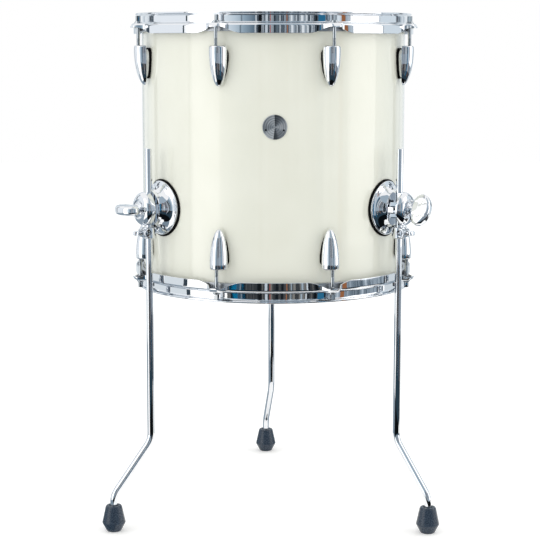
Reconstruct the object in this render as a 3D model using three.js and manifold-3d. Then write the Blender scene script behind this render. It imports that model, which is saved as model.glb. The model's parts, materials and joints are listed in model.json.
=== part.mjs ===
// Floor tom: a lacquered wooden drum on three bent legs.
// Millimetres, +Z up. The drum's axis is vertical, its front faces -Y and the feet stand at z = 0.

import * as THREE from 'three';
import { mergeVertices } from 'three/addons/utils/BufferGeometryUtils.js';
import Module from 'manifold-3d';

const wasm = await Module();
wasm.setup();

// Fits shared by every piece
const seatGap = 0.3;            // between pieces that rest on each other
const slideGap = 0.35;          // round a rod that slides or turns in a bore
const overrun = 2;              // how far a cutting tool runs past what it cuts
const weldDistance = 0.0005;    // points closer than this are one point

// Shell
const shellDiameter = 406.4;
const shellDepth = 406.4;
const shellWall = 7.2;
const shellFoot = 358.5;        // height of the shell's lower edge above the floor
const edgeSetback = 2;          // outer bevel of the bearing edge
const drumSides = 48;

// Heads: a film glued into a flesh hoop
const filmThickness = 0.3;
const fleshHoopWidth = 6.2;
const fleshHoopHeight = 9.5;

// Hoops: pressed steel with a lip, a middle flange and a skirt
const hoopSteel = 2.3;
const hoopClearance = 2.8;      // from the shell to the hoop's inner wall
const hoopRise = 6.1;           // the lip's height over the bearing edge
const lipReach = 4.2;           // the lip's reach past the hoop's outer wall
const lipDepth = 4;
const flangeDrop = 9.9;         // from the bearing edge down to the middle flange
const skirtReach = 12.3;        // from the shell to the skirt's outer face
const skirtDrop = 24.9;         // from the bearing edge down to the skirt's free edge
const notchWidth = 40;          // opening in the skirt at each ear, at the free edge
const notchNeck = 21;           // and at the flange

// Ears on the hoops, one for each tension rod
const earReach = 27.6;          // from the shell to the ear's outer end
const earWidth = 19;
const earLip = 4.6;             // the ear's end turned down
const earHole = 7.6;

// Lugs and tension rods
const lugCount = 8;
const firstLugDegrees = -67.5;  // lug 1 stands front right, the others follow counterclockwise
const lugLength = 58;
const lugWidth = 27;
const lugThickness = 22.6;      // measured outward from the drum
const lugStandOff = 14.2;       // from the shell to the middle of the lug's flat end
const lugLean = 3.8;            // the lug's tip leans this much towards the shell
const lugDrop = 42.5;           // from the bearing edge to the lug's flat end
const lugSides = 10;
const lugShares = [[0, 0.84], [0.05, 0.96], [0.2, 1], [0.45, 0.94], [0.68, 0.75], [0.87, 0.44]];
const lugFootLength = 47;
const lugFootWidth = 25;
const lugFootSetback = 4;
const lugFootShares = [[0.5, 0], [1, 0.12], [1, 0.35], [0.78, 0.72], [0.35, 1]];
const rodDiameter = 5.5;
const rodStandOff = 16.3;       // from the shell to the rod's axis
const rodInsertion = 24;        // length of rod inside its lug
const rodSides = 8;
const washerDiameter = 12;
const washerThickness = 1.2;
const rodCollarDiameter = 9.6;
const rodCollarHeight = 1.8;
const rodHeadAcross = 6.2;
const rodHeadHeight = 8;

// Badge and vent
const badgeDiameter = 35.5;
const badgeThickness = 1.2;
const badgeDrop = 157.9;        // from the bearing edge down to the badge's middle
const badgeStation = -90;       // degrees, the front
const badgeSides = 24;
const ventDrop = 124.9;         // from the bearing edge down to the vent's axis
const ventStation = 90;         // degrees, the back
const ventBore = 8;
const ventWall = 1.2;
const ventFlangeDiameter = 15;
const ventFlangeThickness = 1.5;
const ventSides = 12;

// Leg brackets
const bracketStations = { left: -145, right: -35, rear: 90 };   // degrees
const bracketLift = 23.5;       // from the lower lugs' tips up to the brackets' middle
const bracketSides = 24;
const gasketDiameter = 86.8;
const gasketThickness = 2.5;
const baseDiameter = 81;
const baseRim = 2.2;            // thickness of the base plate's rim
const baseDome = 16;            // from the rim's outer face to the seat of the clamp
const baseShares = [[0.95, 0.1], [0.8, 0.24], [0.69, 0.42], [0.635, 0.66]];
const baseNeckShare = 0.674;    // where the dome is low enough for the memory lock beside it
const clampDiameter = 50;
const clampGap = 5.4;           // between the two halves of the clamp
const capThickness = 16;
const capShares = [[1, 0.36], [0.94, 0.66], [0.79, 0.89], [0.6, 1]];
const dishDiameter = 27.6;      // recess in the cap's face for the wing bolt
const dishDepth = 2.4;
const bridgeWidth = 7.5;        // block beside the rod that joins the two halves
const bridgeHeight = 14;
const bridgeInset = 7.5;        // from the rod's axis to the block, and to the toothed side
const baseRecess = 3.8;         // toothed side: how far each half is cut back
const capRecess = 5.2;
const toothDepth = 5;           // inward, towards the rod
const toothInset = 2.5;         // from the clamp's side to the teeth
const baseToothLength = 10;
const baseToothHeight = 8.2;
const capToothLength = 8.1;
const capToothHeight = 7.2;
const toothClearance = 0.7;

// Wing bolts
const wingTurns = { left: 90, right: -27, rear: 0 };             // degrees from upright
const boltDiameter = 6.4;
const boltSides = 10;
const wingBaseDiameter = 22.8;  // flat foot of the hub, in the cap's dish
const wingBaseHeight = 3;
const wingHubDiameter = 14;
const wingHubLength = 13;
const wingHubTipShare = 0.66;
const wingSpan = 48.5;
const wingReach = 35;
const wingSetback = 3.6;        // from the hub's seat to the wing
const wingThickness = 13.5;
const wingBevel = 3.6;
const wingSides = 14;

// Memory locks
const lockDiameter = 21;
const lockHeight = 17;
const lockDrop = 2.3;           // from the clamp down to the lock
const lockSides = 16;
const lockBossDiameter = 15;
const lockBossLength = 19;
const lockBossOffset = 7;
const lockScrewDiameter = 8;
const lockScrewReach = 19;      // from the rod's axis to the end of the screw's collar
const lockKeyAcross = 6;
const lockKeyReach = 26;

// Legs and feet
const legTurns = { left: 0, right: -13, rear: 8 };              // degrees, rest position
const legDiameter = 10.5;
const legStandOff = 23.8;       // from the shell to the leg's axis
const legRise = 89.5;           // from the brackets' middle up to the leg's end
const ankleLength = 4.6;        // straight rod between the foot and the lower bend
const legBendDegrees = 41;
const legBendRadius = 28;
const legBendSteps = 4;
const legOffset = 66;           // the foot stands this far outside the leg's axis
const legSides = 12;
const footHeight = 40;
const footSoleDiameter = 25;
const footBellyDiameter = 33;
const footNeckDiameter = 23;
const footFloor = 9;            // rubber under the end of the leg
const footSides = 14;
const footShares = [[0.78, 0.06], [1, 0.3], [0.97, 0.46], [0.76, 0.68]];

// Places worked out from the sizes above
const shellRadius = shellDiameter / 2;
const shellTop = shellFoot + shellDepth;
const bracketHeight = shellFoot + lugDrop + lugLength + bracketLift;
const legRadius = legDiameter / 2;
const legAxis = shellRadius + legStandOff;
const rodAxis = shellRadius + rodStandOff;
const gasketOuter = shellRadius + seatGap + gasketThickness;
const rimFace = gasketOuter + seatGap + baseRim;
const clampSeat = rimFace + baseDome;
const capSeat = clampSeat + clampGap;
const capFace = capSeat + capThickness;
const legBore = legRadius + slideGap;
const lockTop = bracketHeight - Math.max(clampDiameter / 2 + lockDrop, (baseNeckShare * baseDiameter) / 2);

// Finishes
const lacquer = new THREE.MeshStandardMaterial({ color: 0xe7e6d6, roughness: 0.12, metalness: 0 });
const coating = new THREE.MeshStandardMaterial({ color: 0xf0efe9, roughness: 0.75, metalness: 0 });
const film = new THREE.MeshStandardMaterial({ color: 0xe4e6e6, roughness: 0.25, metalness: 0 });
const chrome = new THREE.MeshStandardMaterial({ color: 0xd6d9dd, roughness: 0.06, metalness: 1 });
const nickel = new THREE.MeshStandardMaterial({ color: 0x5f5e5c, roughness: 0.35, metalness: 1 });
const rubber = new THREE.MeshStandardMaterial({ color: 0x1b1b1d, roughness: 0.7, metalness: 0 });

// Closed surface of a three.js geometry as a solid that can be joined and cut
function solidOf(geometry) {
  const bare = geometry.clone();
  bare.deleteAttribute('normal');
  bare.deleteAttribute('uv');
  const welded = mergeVertices(bare, weldDistance);
  const corners = welded.index.array;
  const triangles = [];
  for (let i = 0; i < corners.length; i += 3) {
    const [a, b, c] = [corners[i], corners[i + 1], corners[i + 2]];
    if (a !== b && b !== c && c !== a) triangles.push(a, b, c);
  }
  return new wasm.Manifold(new wasm.Mesh({
    numProp: 3,
    vertProperties: new Float32Array(welded.attributes.position.array),
    triVerts: new Uint32Array(triangles),
  }));
}

// Solid as a named mesh
function meshOf(name, solid, finish) {
  const { vertProperties, triVerts } = solid.getMesh();
  const geometry = new THREE.BufferGeometry();
  geometry.setAttribute('position', new THREE.BufferAttribute(vertProperties, 3));
  geometry.setIndex(new THREE.BufferAttribute(triVerts, 1));
  geometry.computeVertexNormals();
  const mesh = new THREE.Mesh(geometry, finish);
  mesh.name = name;
  return mesh;
}

function join(first, ...others) {
  return others.reduce((sum, solid) => sum.add(solid), first);
}

function cut(first, ...tools) {
  return tools.reduce((rest, tool) => rest.subtract(tool), first);
}

// Body turned about +Z from [radius, height] pairs, which start and end on the axis or close up
function turnedGeometry(profile, sides) {
  const points = profile.map(([radius, height]) => new THREE.Vector2(radius, height));
  return new THREE.LatheGeometry(points, sides).rotateX(Math.PI / 2);
}

function turned(profile, sides) {
  return solidOf(turnedGeometry(profile, sides));
}

function turnedRing(profile, sides) {
  return turned([...profile, profile[0]], sides);
}

// The same turned about the outward axis +X
function turnedOutward(profile, sides) {
  return solidOf(turnedGeometry(profile, sides).rotateY(Math.PI / 2));
}

function cylinderProfile(radius, from, to) {
  return [[0, from], [radius, from], [radius, to], [0, to]];
}

// Closed outline drawn in [x, z] and stretched along Y, centred on Y = 0
function sideways(outline, width) {
  const shape = new THREE.Shape(outline.map(([x, z]) => new THREE.Vector2(x, z)));
  const geometry = new THREE.ExtrudeGeometry(shape, { depth: width, bevelEnabled: false });
  return solidOf(geometry.translate(0, 0, -width / 2).rotateX(Math.PI / 2));
}

// Closed outline drawn in [y, z] and stretched along +X
function outward(outline, from, to) {
  const shape = new THREE.Shape(outline.map(([y, z]) => new THREE.Vector2(y, z)));
  const geometry = new THREE.ExtrudeGeometry(shape, { depth: to - from, bevelEnabled: false });
  return solidOf(geometry.rotateX(Math.PI / 2).rotateZ(Math.PI / 2).translate(from, 0, 0));
}

function block(from, to) {
  const size = to.map((value, axis) => value - from[axis]);
  const middle = to.map((value, axis) => (value + from[axis]) / 2);
  return solidOf(new THREE.BoxGeometry(...size).translate(...middle));
}

// Group turned about the drum's axis, so that +X points outward at this station
function station(degrees, ...meshes) {
  const group = new THREE.Group();
  group.rotation.z = THREE.MathUtils.degToRad(degrees);
  group.add(...meshes);
  return group;
}

// Cylinder, or a slice of tube, whose facets lie as the shell's do seen from a station
function drumCylinder(radius, from, to, degrees) {
  return turned(cylinderProfile(radius, from, to), drumSides).rotate([0, 0, -degrees]);
}

function drumSkin(thickness, height, degrees) {
  const inner = shellRadius + seatGap;
  const outer = inner + thickness;
  const half = height / 2;
  const profile = [[inner, -half], [outer, -half], [outer, half], [inner, half]];
  return turnedRing(profile, drumSides).rotate([0, 0, -degrees]);
}

// Wooden shell with a bevelled bearing edge at both ends and a hole for the vent
function makeShell() {
  const inner = shellRadius - shellWall;
  const peak = shellRadius - edgeSetback;
  const innerDrop = peak - inner;
  const wall = turnedRing([
    [shellRadius, edgeSetback],
    [shellRadius, shellDepth - edgeSetback],
    [peak, shellDepth],
    [inner, shellDepth - innerDrop],
    [inner, innerDrop],
    [peak, 0],
  ], drumSides);
  const holeRadius = ventBore / 2 + ventWall + seatGap;
  const hole = turnedGeometry(cylinderProfile(holeRadius, inner - overrun, shellRadius + overrun), ventSides);
  hole.rotateY(Math.PI / 2).rotateZ(Math.PI / 2).translate(0, 0, shellDepth - ventDrop);
  const shell = meshOf('shell', cut(wall, solidOf(hole)), lacquer);
  shell.position.z = shellFoot;
  return shell;
}

// Head: flat film, drawn down over the bearing edge into its flesh hoop. z = 0 is the bearing edge.
function headSolid() {
  const peak = shellRadius - edgeSetback;
  const skin = shellRadius + seatGap;
  const fleshTop = -flangeDrop - hoopSteel - seatGap;
  const fleshBottom = fleshTop - fleshHoopHeight;
  return turned([
    [0, seatGap],
    [peak + seatGap / 2, seatGap],
    [skin, -edgeSetback],
    [skin, fleshBottom],
    [skin + fleshHoopWidth, fleshBottom],
    [skin + fleshHoopWidth, fleshTop],
    [skin + filmThickness, fleshTop],
    [skin + filmThickness, -edgeSetback],
    [peak + seatGap / 2, seatGap + filmThickness],
    [0, seatGap + filmThickness],
  ], drumSides);
}

// Hoop: lip, wall, middle flange and notched skirt, with an ear for each rod
function hoopSolid() {
  const wallInner = shellRadius + hoopClearance;
  const wallOuter = wallInner + hoopSteel;
  const lip = wallOuter + lipReach;
  const skirt = shellRadius + skirtReach;
  const flangeTop = -flangeDrop;
  const flangeBottom = flangeTop - hoopSteel;
  const lipRoot = hoopRise - lipDepth;
  const ring = turnedRing([
    [wallInner, flangeBottom],
    [skirt - hoopSteel, flangeBottom],
    [skirt - hoopSteel, -skirtDrop],
    [skirt, -skirtDrop],
    [skirt, flangeTop],
    [wallOuter, flangeTop],
    [wallOuter, lipRoot],
    [lip, hoopRise - hoopSteel],
    [lip, hoopRise],
    [wallInner + hoopSteel / 2, hoopRise],
    [wallInner, lipRoot],
  ], drumSides);
  const notch = outward([
    [-notchNeck / 2, flangeBottom],
    [-notchWidth / 2, -skirtDrop - overrun],
    [notchWidth / 2, -skirtDrop - overrun],
    [notchNeck / 2, flangeBottom],
  ], wallOuter + seatGap, skirt + overrun);
  const earEnd = shellRadius + earReach;
  const ear = sideways([
    [wallOuter + seatGap, flangeBottom],
    [earEnd - hoopSteel, flangeBottom],
    [earEnd - hoopSteel, flangeTop - earLip],
    [earEnd, flangeTop - earLip],
    [earEnd, flangeTop - hoopSteel / 2],
    [earEnd - hoopSteel / 2, flangeTop],
    [wallOuter + seatGap, flangeTop],
  ], earWidth);
  const holeProfile = cylinderProfile(earHole / 2, flangeBottom - overrun, flangeTop + overrun);
  const hole = solidOf(turnedGeometry(holeProfile, rodSides).translate(rodAxis, 0, 0));
  const finishedEar = cut(ear, hole);
  let hoop = ring;
  for (let i = 0; i < lugCount; i++) {
    const degrees = firstLugDegrees + (i * 360) / lugCount;
    hoop = hoop.subtract(notch.rotate([0, 0, degrees])).add(finishedEar.rotate([0, 0, degrees]));
    hoop = hoop.subtract(hole.rotate([0, 0, degrees]));
  }
  return hoop;
}

// Lug: a bullet on a flat foot that follows the shell, with a bore for the rod
function lugSolid() {
  const middle = shellRadius + lugStandOff;
  const profile = [[0, 0]];
  for (const [lengthShare, widthShare] of lugShares) {
    profile.unshift([(widthShare * lugWidth) / 2, -lengthShare * lugLength]);
  }
  profile.unshift([0, -lugLength]);
  const bullet = turnedGeometry(profile, lugSides);
  bullet.scale(lugThickness / lugWidth, 1, 1);
  const points = bullet.attributes.position;
  for (let i = 0; i < points.count; i++) {
    const along = points.getZ(i) / lugLength;
    points.setX(i, points.getX(i) + middle - lugLean * along * along);
  }
  const right = lugFootShares.map(([y, z]) => [(y * lugFootWidth) / 2, -lugFootSetback - z * lugFootLength]);
  const left = right.map(([y, z]) => [-y, z]).reverse();
  const foot = outward([...right, ...left], shellRadius - lugWidth / 2, middle);
  const boreProfile = cylinderProfile(rodDiameter / 2 + slideGap, -rodInsertion - overrun, overrun);
  const bore = turnedGeometry(boreProfile, rodSides).translate(rodAxis, 0, 0);
  const backing = drumCylinder(shellRadius + seatGap, -lugLength - overrun, overrun, firstLugDegrees);
  return cut(join(solidOf(bullet), foot), solidOf(bore), backing);
}

// Tension rod with its washer, seated on an ear. z = 0 is the ear's face.
function rodSolid() {
  const length = lugDrop - flangeDrop + rodInsertion;
  const washerTop = seatGap + washerThickness;
  const collarTop = washerTop + rodCollarHeight;
  const shaft = turned([
    [0, -length],
    [rodDiameter / 2, -length],
    [rodDiameter / 2, seatGap],
    [washerDiameter / 2, seatGap],
    [washerDiameter / 2, washerTop],
    [rodCollarDiameter / 2, washerTop],
    [rodCollarDiameter / 2, collarTop],
    [0, collarTop],
  ], rodSides);
  const half = rodHeadAcross / 2;
  const head = block([-half, -half, washerTop], [half, half, collarTop + rodHeadHeight]);
  return join(shaft, head);
}

// One end of the drum: head, hoop, lugs and tension rods. z = 0 is the bearing edge, +z away from the shell.
function makeEnd(end, headName, headFinish, direction) {
  const group = new THREE.Group();
  group.add(meshOf(headName, headSolid(), headFinish));
  group.add(meshOf(`${end}_hoop`, hoopSolid(), chrome));
  const lug = lugSolid();
  const rod = rodSolid();
  for (let i = 0; i < lugCount; i++) {
    const lugMesh = meshOf(`lug_${end}_${i + 1}`, lug, chrome);
    lugMesh.position.z = -lugDrop;
    const rodMesh = meshOf(`tension_rod_${end}_${i + 1}`, rod, chrome);
    rodMesh.position.set(rodAxis, 0, -flangeDrop);
    group.add(station(direction * (firstLugDegrees + (i * 360) / lugCount), lugMesh, rodMesh));
  }
  return group;
}

// Round badge bent to the shell
function makeBadge() {
  const disc = turnedOutward(cylinderProfile(badgeDiameter / 2, 0, shellDiameter), badgeSides);
  const skin = drumSkin(badgeThickness, badgeDiameter + overrun, badgeStation);
  const badge = meshOf('badge', disc.intersect(skin), nickel);
  badge.position.z = shellTop - badgeDrop;
  return station(badgeStation, badge);
}

// Vent eyelet through the shell's back
function makeVent() {
  const bore = ventBore / 2;
  const barrel = bore + ventWall;
  const flangeSeat = shellRadius + seatGap;
  const inner = shellRadius - shellWall;
  const profile = [
    [bore, inner],
    [barrel, inner],
    [barrel, flangeSeat],
    [ventFlangeDiameter / 2, flangeSeat],
    [ventFlangeDiameter / 2, flangeSeat + ventFlangeThickness / 2],
    [barrel, flangeSeat + ventFlangeThickness],
    [bore, flangeSeat + ventFlangeThickness],
    [bore, inner],
  ];
  const vent = meshOf('vent_grommet', turnedOutward(profile, ventSides), nickel);
  vent.position.z = shellTop - ventDrop;
  return station(ventStation, vent);
}

// Rubber disc under a bracket, bent to the shell
function gasketSolid(degrees) {
  const disc = turnedOutward(cylinderProfile(gasketDiameter / 2, 0, shellDiameter), bracketSides);
  return disc.intersect(drumSkin(gasketThickness, gasketDiameter + overrun, degrees));
}

// Vertical bore through a clamp half for the leg
function legBoreSolid() {
  const profile = cylinderProfile(legBore, -baseDiameter, baseDiameter);
  return solidOf(turnedGeometry(profile, legSides).translate(legAxis, 0, 0));
}

// Domed base plate that ends in the inner half of the clamp
function baseSolid(degrees) {
  const rim = baseDiameter / 2;
  const dome = baseShares.map(([radius, height]) => [radius * rim, rimFace + height * baseDome]);
  const body = turnedOutward([
    [0, shellRadius - baseRim * 2],
    [rim, shellRadius - baseRim * 2],
    [rim, rimFace],
    ...dome,
    [clampDiameter / 2, clampSeat],
    [0, clampSeat],
  ], bracketSides);
  const drum = drumCylinder(gasketOuter + seatGap, -baseDiameter, baseDiameter, degrees);
  const floor = clampSeat - baseRecess;
  const half = baseToothHeight / 2;
  const baseTooth = tooth(floor - overrun, floor + baseToothLength, -half, half);
  return join(cut(body, drum, legBoreSolid(), toothedSide(floor, clampSeat + overrun)), baseTooth);
}

// The half of the clamp beyond the leg that is cut back for the teeth
function toothedSide(from, to) {
  return block([from, -clampDiameter, -clampDiameter], [to, -bridgeInset, clampDiameter]);
}

// One tooth at the clamp's toothed side
function tooth(from, to, low, high) {
  const side = clampDiameter / 2 - toothInset;
  return block([from, -side, low], [to, toothDepth - side, high]);
}

// Domed cap, the outer half of the clamp. A block beside the leg meets the base, and on the other side
// two teeth stand above and below the base's tooth.
function capSolid() {
  const rim = clampDiameter / 2;
  const dome = capShares.map(([radius, height]) => [radius * rim, capSeat + height * capThickness]);
  const dish = dishDiameter / 2;
  const body = turnedOutward([
    [0, capSeat],
    [rim, capSeat],
    ...dome,
    [dish, capFace],
    [dish, capFace - dishDepth],
    [0, capFace - dishDepth],
  ], bracketSides);
  const reach = capSeat + overrun;
  const half = bridgeHeight / 2;
  const bridge = block([clampSeat + seatGap, bridgeInset, -half], [reach, bridgeInset + bridgeWidth, half]);
  const floor = capSeat + capRecess;
  const low = baseToothHeight / 2 + toothClearance;
  const high = low + capToothHeight;
  const upper = tooth(floor - capToothLength, floor + overrun, low, high);
  const lower = tooth(floor - capToothLength, floor + overrun, -high, -low);
  const boltProfile = cylinderProfile(boltDiameter / 2 + slideGap, capSeat - overrun, capFace + overrun);
  const clamp = join(cut(body, toothedSide(capSeat - overrun, floor)), bridge, upper, lower);
  return cut(clamp, legBoreSolid(), turnedOutward(boltProfile, boltSides));
}

// Wing bolt: its tip presses the leg into the base, its wing stands outside the cap
function wingSolid() {
  const tip = legAxis + legRadius + seatGap;
  const seat = capFace - dishDepth + seatGap;
  const bolt = turnedOutward([
    [0, tip],
    [boltDiameter / 2, tip],
    [boltDiameter / 2, seat],
    [wingBaseDiameter / 2, seat],
    [wingBaseDiameter / 2, seat + wingBaseHeight],
    [wingHubDiameter / 2, seat + wingBaseHeight],
    [wingHubDiameter / 2, seat + wingHubLength / 2],
    [(wingHubTipShare * wingHubDiameter) / 2, seat + wingHubLength],
    [0, seat + wingHubLength],
  ], boltSides);
  const outline = new THREE.Shape().absellipse(0, 0, wingReach / 2 - wingBevel, wingSpan / 2 - wingBevel,
    0, 2 * Math.PI, false);
  const wing = new THREE.ExtrudeGeometry(outline, {
    depth: wingThickness - 2 * wingBevel,
    bevelThickness: wingBevel,
    bevelSize: wingBevel,
    bevelSegments: 1,
    curveSegments: wingSides,
  });
  wing.translate(0, 0, wingBevel - wingThickness / 2).rotateX(Math.PI / 2);
  wing.translate(seat + wingSetback + wingReach / 2, 0, 0);
  return join(bolt, solidOf(wing));
}

// Memory lock: a split collar on the leg with a cross boss and its key screw. x = 0 is the leg's axis.
function lockSolid() {
  const half = lockHeight / 2;
  const collar = turned(cylinderProfile(lockDiameter / 2, -half, half), lockSides);
  const bossLength = cylinderProfile(lockBossDiameter / 2, -lockBossLength / 2, lockBossLength / 2);
  const boss = turnedGeometry(bossLength, lockSides).rotateX(Math.PI / 2).translate(lockBossOffset, 0, 0);
  const screw = turnedOutward(cylinderProfile(lockScrewDiameter / 2, lockDiameter / 2, lockScrewReach), rodSides);
  const key = lockKeyAcross / 2;
  const head = block([lockScrewReach - overrun, -key, -key], [lockKeyReach, key, key]);
  const bore = turned(cylinderProfile(legBore, -half - overrun, half + overrun), legSides);
  return cut(join(collar, solidOf(boss), screw, head), bore);
}

// Stations along a bent rod. Its rings stand square to the straight that enters or leaves a bend.
class BentRod extends THREE.Curve {
  constructor(points) {
    super();
    this.points = points;
  }

  getPoint(share, target = new THREE.Vector3()) {
    const place = share * (this.points.length - 1);
    const i = Math.min(Math.floor(place), this.points.length - 2);
    return target.copy(this.points[i]).lerp(this.points[i + 1], place - i);
  }

  getPointAt(share, target) {
    return this.getPoint(share, target);
  }

  getTangentAt(share, target) {
    return this.getTangent(share, target);
  }
}

// Leg: upright, bent outward and bent upright again inside the foot. x = 0 is the leg's axis.
function legSolid() {
  const bend = THREE.MathUtils.degToRad(legBendDegrees);
  const tangent = legBendRadius * Math.tan(bend / 2);
  const ankle = footHeight + ankleLength;
  const upperCorner = ankle + tangent + legOffset / Math.tan(bend);
  const upper = new THREE.Vector3(legBendRadius, 0, upperCorner + tangent);
  const lower = new THREE.Vector3(legOffset - legBendRadius, 0, ankle);
  const points = [new THREE.Vector3(0, 0, bracketHeight + legRise)];
  const arc = (centre, angle, side) => centre.clone().add(
    new THREE.Vector3(Math.cos(angle), 0, Math.sin(angle)).multiplyScalar(side * legBendRadius));
  for (let i = 0; i <= legBendSteps; i++) points.push(arc(upper, (bend * i) / legBendSteps, -1));
  for (let i = legBendSteps; i >= 0; i--) points.push(arc(lower, (bend * i) / legBendSteps, 1));
  points.push(new THREE.Vector3(legOffset, 0, footFloor + seatGap));
  const section = [];
  for (let i = 0; i < legSides; i++) {
    const angle = (2 * Math.PI * i) / legSides;
    section.push(new THREE.Vector2(Math.cos(angle), Math.sin(angle)).multiplyScalar(legRadius));
  }
  return solidOf(new THREE.ExtrudeGeometry(new THREE.Shape(section), {
    steps: points.length - 1,
    extrudePath: new BentRod(points),
  }));
}

// Rubber foot with a flat sole and a blind bore for the leg
function footSolid() {
  const belly = footBellyDiameter / 2;
  const side = footShares.map(([radius, height]) => [radius * belly, height * footHeight]);
  return turned([
    [0, 0],
    [footSoleDiameter / 2, 0],
    ...side,
    [footNeckDiameter / 2, footHeight],
    [legRadius + seatGap, footHeight],
    [legRadius + seatGap, footFloor],
    [0, footFloor],
  ], footSides);
}

// One leg with the bracket, wing bolt and memory lock that hold it
function makeLegSet(name, degrees) {
  const gasket = meshOf(`bracket_gasket_${name}`, gasketSolid(degrees), rubber);
  const base = meshOf(`bracket_base_${name}`, baseSolid(degrees), chrome);
  const cap = meshOf(`bracket_cap_${name}`, capSolid(), chrome);
  const wing = meshOf(`wing_bolt_${name}`, wingSolid(), chrome);
  wing.rotation.x = THREE.MathUtils.degToRad(wingTurns[name]);
  for (const piece of [gasket, base, cap, wing]) piece.position.z = bracketHeight;
  const lock = meshOf(`memory_lock_${name}`, lockSolid(), chrome);
  lock.position.set(legAxis, 0, lockTop - lockHeight / 2);
  const leg = meshOf(`leg_${name}`, legSolid(), chrome);
  const foot = meshOf(`foot_${name}`, footSolid(), rubber);
  foot.position.x = legOffset;
  const legAndFoot = station(legTurns[name], leg, foot);
  legAndFoot.position.x = legAxis;
  return station(degrees, gasket, base, cap, wing, lock, legAndFoot);
}

const tom = new THREE.Group();
tom.add(makeShell(), makeBadge(), makeVent());

const top = makeEnd('top', 'batter_head', coating, 1);
top.position.z = shellTop;
const bottom = makeEnd('bottom', 'resonant_head', film, -1);
bottom.rotation.x = Math.PI;
bottom.position.z = shellFoot;
tom.add(top, bottom);

for (const [name, degrees] of Object.entries(bracketStations)) tom.add(makeLegSet(name, degrees));

// The origin is the middle of the object's box, on the floor
tom.updateMatrixWorld(true);
const box = new THREE.Box3().setFromObject(tom, true);
const middle = box.getCenter(new THREE.Vector3());
tom.position.set(-middle.x, -middle.y, -box.min.z);

export default tom;
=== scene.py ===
import json
import math

import bmesh
import bpy
from mathutils import Matrix, Vector


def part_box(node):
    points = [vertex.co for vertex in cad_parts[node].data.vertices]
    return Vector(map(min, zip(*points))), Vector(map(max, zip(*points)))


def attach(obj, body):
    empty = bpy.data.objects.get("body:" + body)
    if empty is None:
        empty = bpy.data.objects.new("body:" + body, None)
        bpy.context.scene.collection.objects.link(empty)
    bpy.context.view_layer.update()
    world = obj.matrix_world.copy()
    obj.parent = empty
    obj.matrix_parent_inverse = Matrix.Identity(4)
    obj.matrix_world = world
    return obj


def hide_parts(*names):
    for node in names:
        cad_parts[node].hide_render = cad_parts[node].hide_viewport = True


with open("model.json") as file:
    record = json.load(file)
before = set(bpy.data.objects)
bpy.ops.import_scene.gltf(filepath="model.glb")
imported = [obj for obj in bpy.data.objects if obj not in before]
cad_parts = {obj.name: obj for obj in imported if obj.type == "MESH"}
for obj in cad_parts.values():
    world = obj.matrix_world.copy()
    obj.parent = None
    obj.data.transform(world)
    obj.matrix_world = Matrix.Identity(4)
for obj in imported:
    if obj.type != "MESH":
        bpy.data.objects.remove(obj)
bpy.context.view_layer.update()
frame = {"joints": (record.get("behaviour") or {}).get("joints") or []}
print("frame loaded")

mm = 0.001
arcStep = math.radians(15)  # one facet of a rounded corner
sharpAngle = math.radians(40)  # edges bent more than this stay crisp

# Places that the frame gives: the drum's axis, its two edges and the stations of the hardware
shellLow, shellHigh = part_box("shell")
drumX = (shellLow.x + shellHigh.x) / 2
drumY = (shellLow.y + shellHigh.y) / 2
shellRadius = (shellHigh.x - shellLow.x) / 2 / mm
shellDepth = (shellHigh.z - shellLow.z) / mm
joints = {joint["name"]: joint for joint in frame["joints"]}
legNames = ("left", "right", "rear")


def stationOf(joint):
    x, y, _ = joints[joint]["pos_m"]
    return math.atan2(y - drumY, x - drumX)


def reachOf(joint):
    return math.dist(joints[joint]["pos_m"][:2], (drumX, drumY)) / mm


stations = {
    "top": [stationOf(f"tension_rod_top_{i + 1}") for i in range(8)],
    "bottom": [stationOf(f"tension_rod_bottom_{i + 1}") for i in range(8)],
}
edgeHeights = {"top": shellHigh.z / mm, "bottom": shellLow.z / mm}
bracketHeight = joints["wing_bolt_left"]["pos_m"][2] / mm
legAxis = reachOf("leg_turn_left")
rodAxis = reachOf("tension_rod_top_1")


def atStation(angle, z):
    # from millimetres, +X outward from the drum's axis, to metres in the frame
    turn = Matrix.Rotation(angle, 4, "Z")
    return Matrix.Translation((drumX, drumY, z * mm)) @ turn @ Matrix.Scale(mm, 4)


def atEnd(end, angle):
    place = atStation(angle, edgeHeights[end])
    return place if end == "top" else place @ Matrix.Rotation(math.pi, 4, "X")


# Outlines

def softened(corners, closed=False):
    # [x, y, radius] corners as a line whose corners are arcs
    line = []
    last = len(corners) - 1
    for i, (x, y, radius) in enumerate(corners):
        here = Vector((x, y))
        if not radius or (not closed and i in (0, last)):
            line.append(here)
            continue
        before = Vector(corners[i - 1][:2]) - here
        after = Vector(corners[(i + 1) % len(corners)][:2]) - here
        half = before.angle(after) / 2
        reach = min(radius / math.tan(half), 0.49 * before.length, 0.49 * after.length)
        middle = (before.normalized() + after.normalized()).normalized() * (reach / math.cos(half))
        start = before.normalized() * reach - middle
        end = after.normalized() * reach - middle
        first = math.atan2(start.y, start.x)
        sweep = (math.atan2(end.y, end.x) - first + math.pi) % (2 * math.pi) - math.pi
        steps = max(2, round(abs(sweep) / arcStep))
        for k in range(steps + 1):
            angle = first + sweep * k / steps
            line.append(here + middle + start.length * Vector((math.cos(angle), math.sin(angle))))
    return line


def smoothStep(value):
    share = min(1, max(0, value))
    return share * share * (3 - 2 * share)


# Blender's own data

def meshOf(name, bm):
    mesh = bpy.data.meshes.new(name)
    bm.to_mesh(mesh)
    bm.free()
    return mesh


def objectOf(name, data):
    made = bpy.data.objects.new(name, data)
    bpy.context.scene.collection.objects.link(made)
    return made


# Shapes, in millimetres

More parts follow.
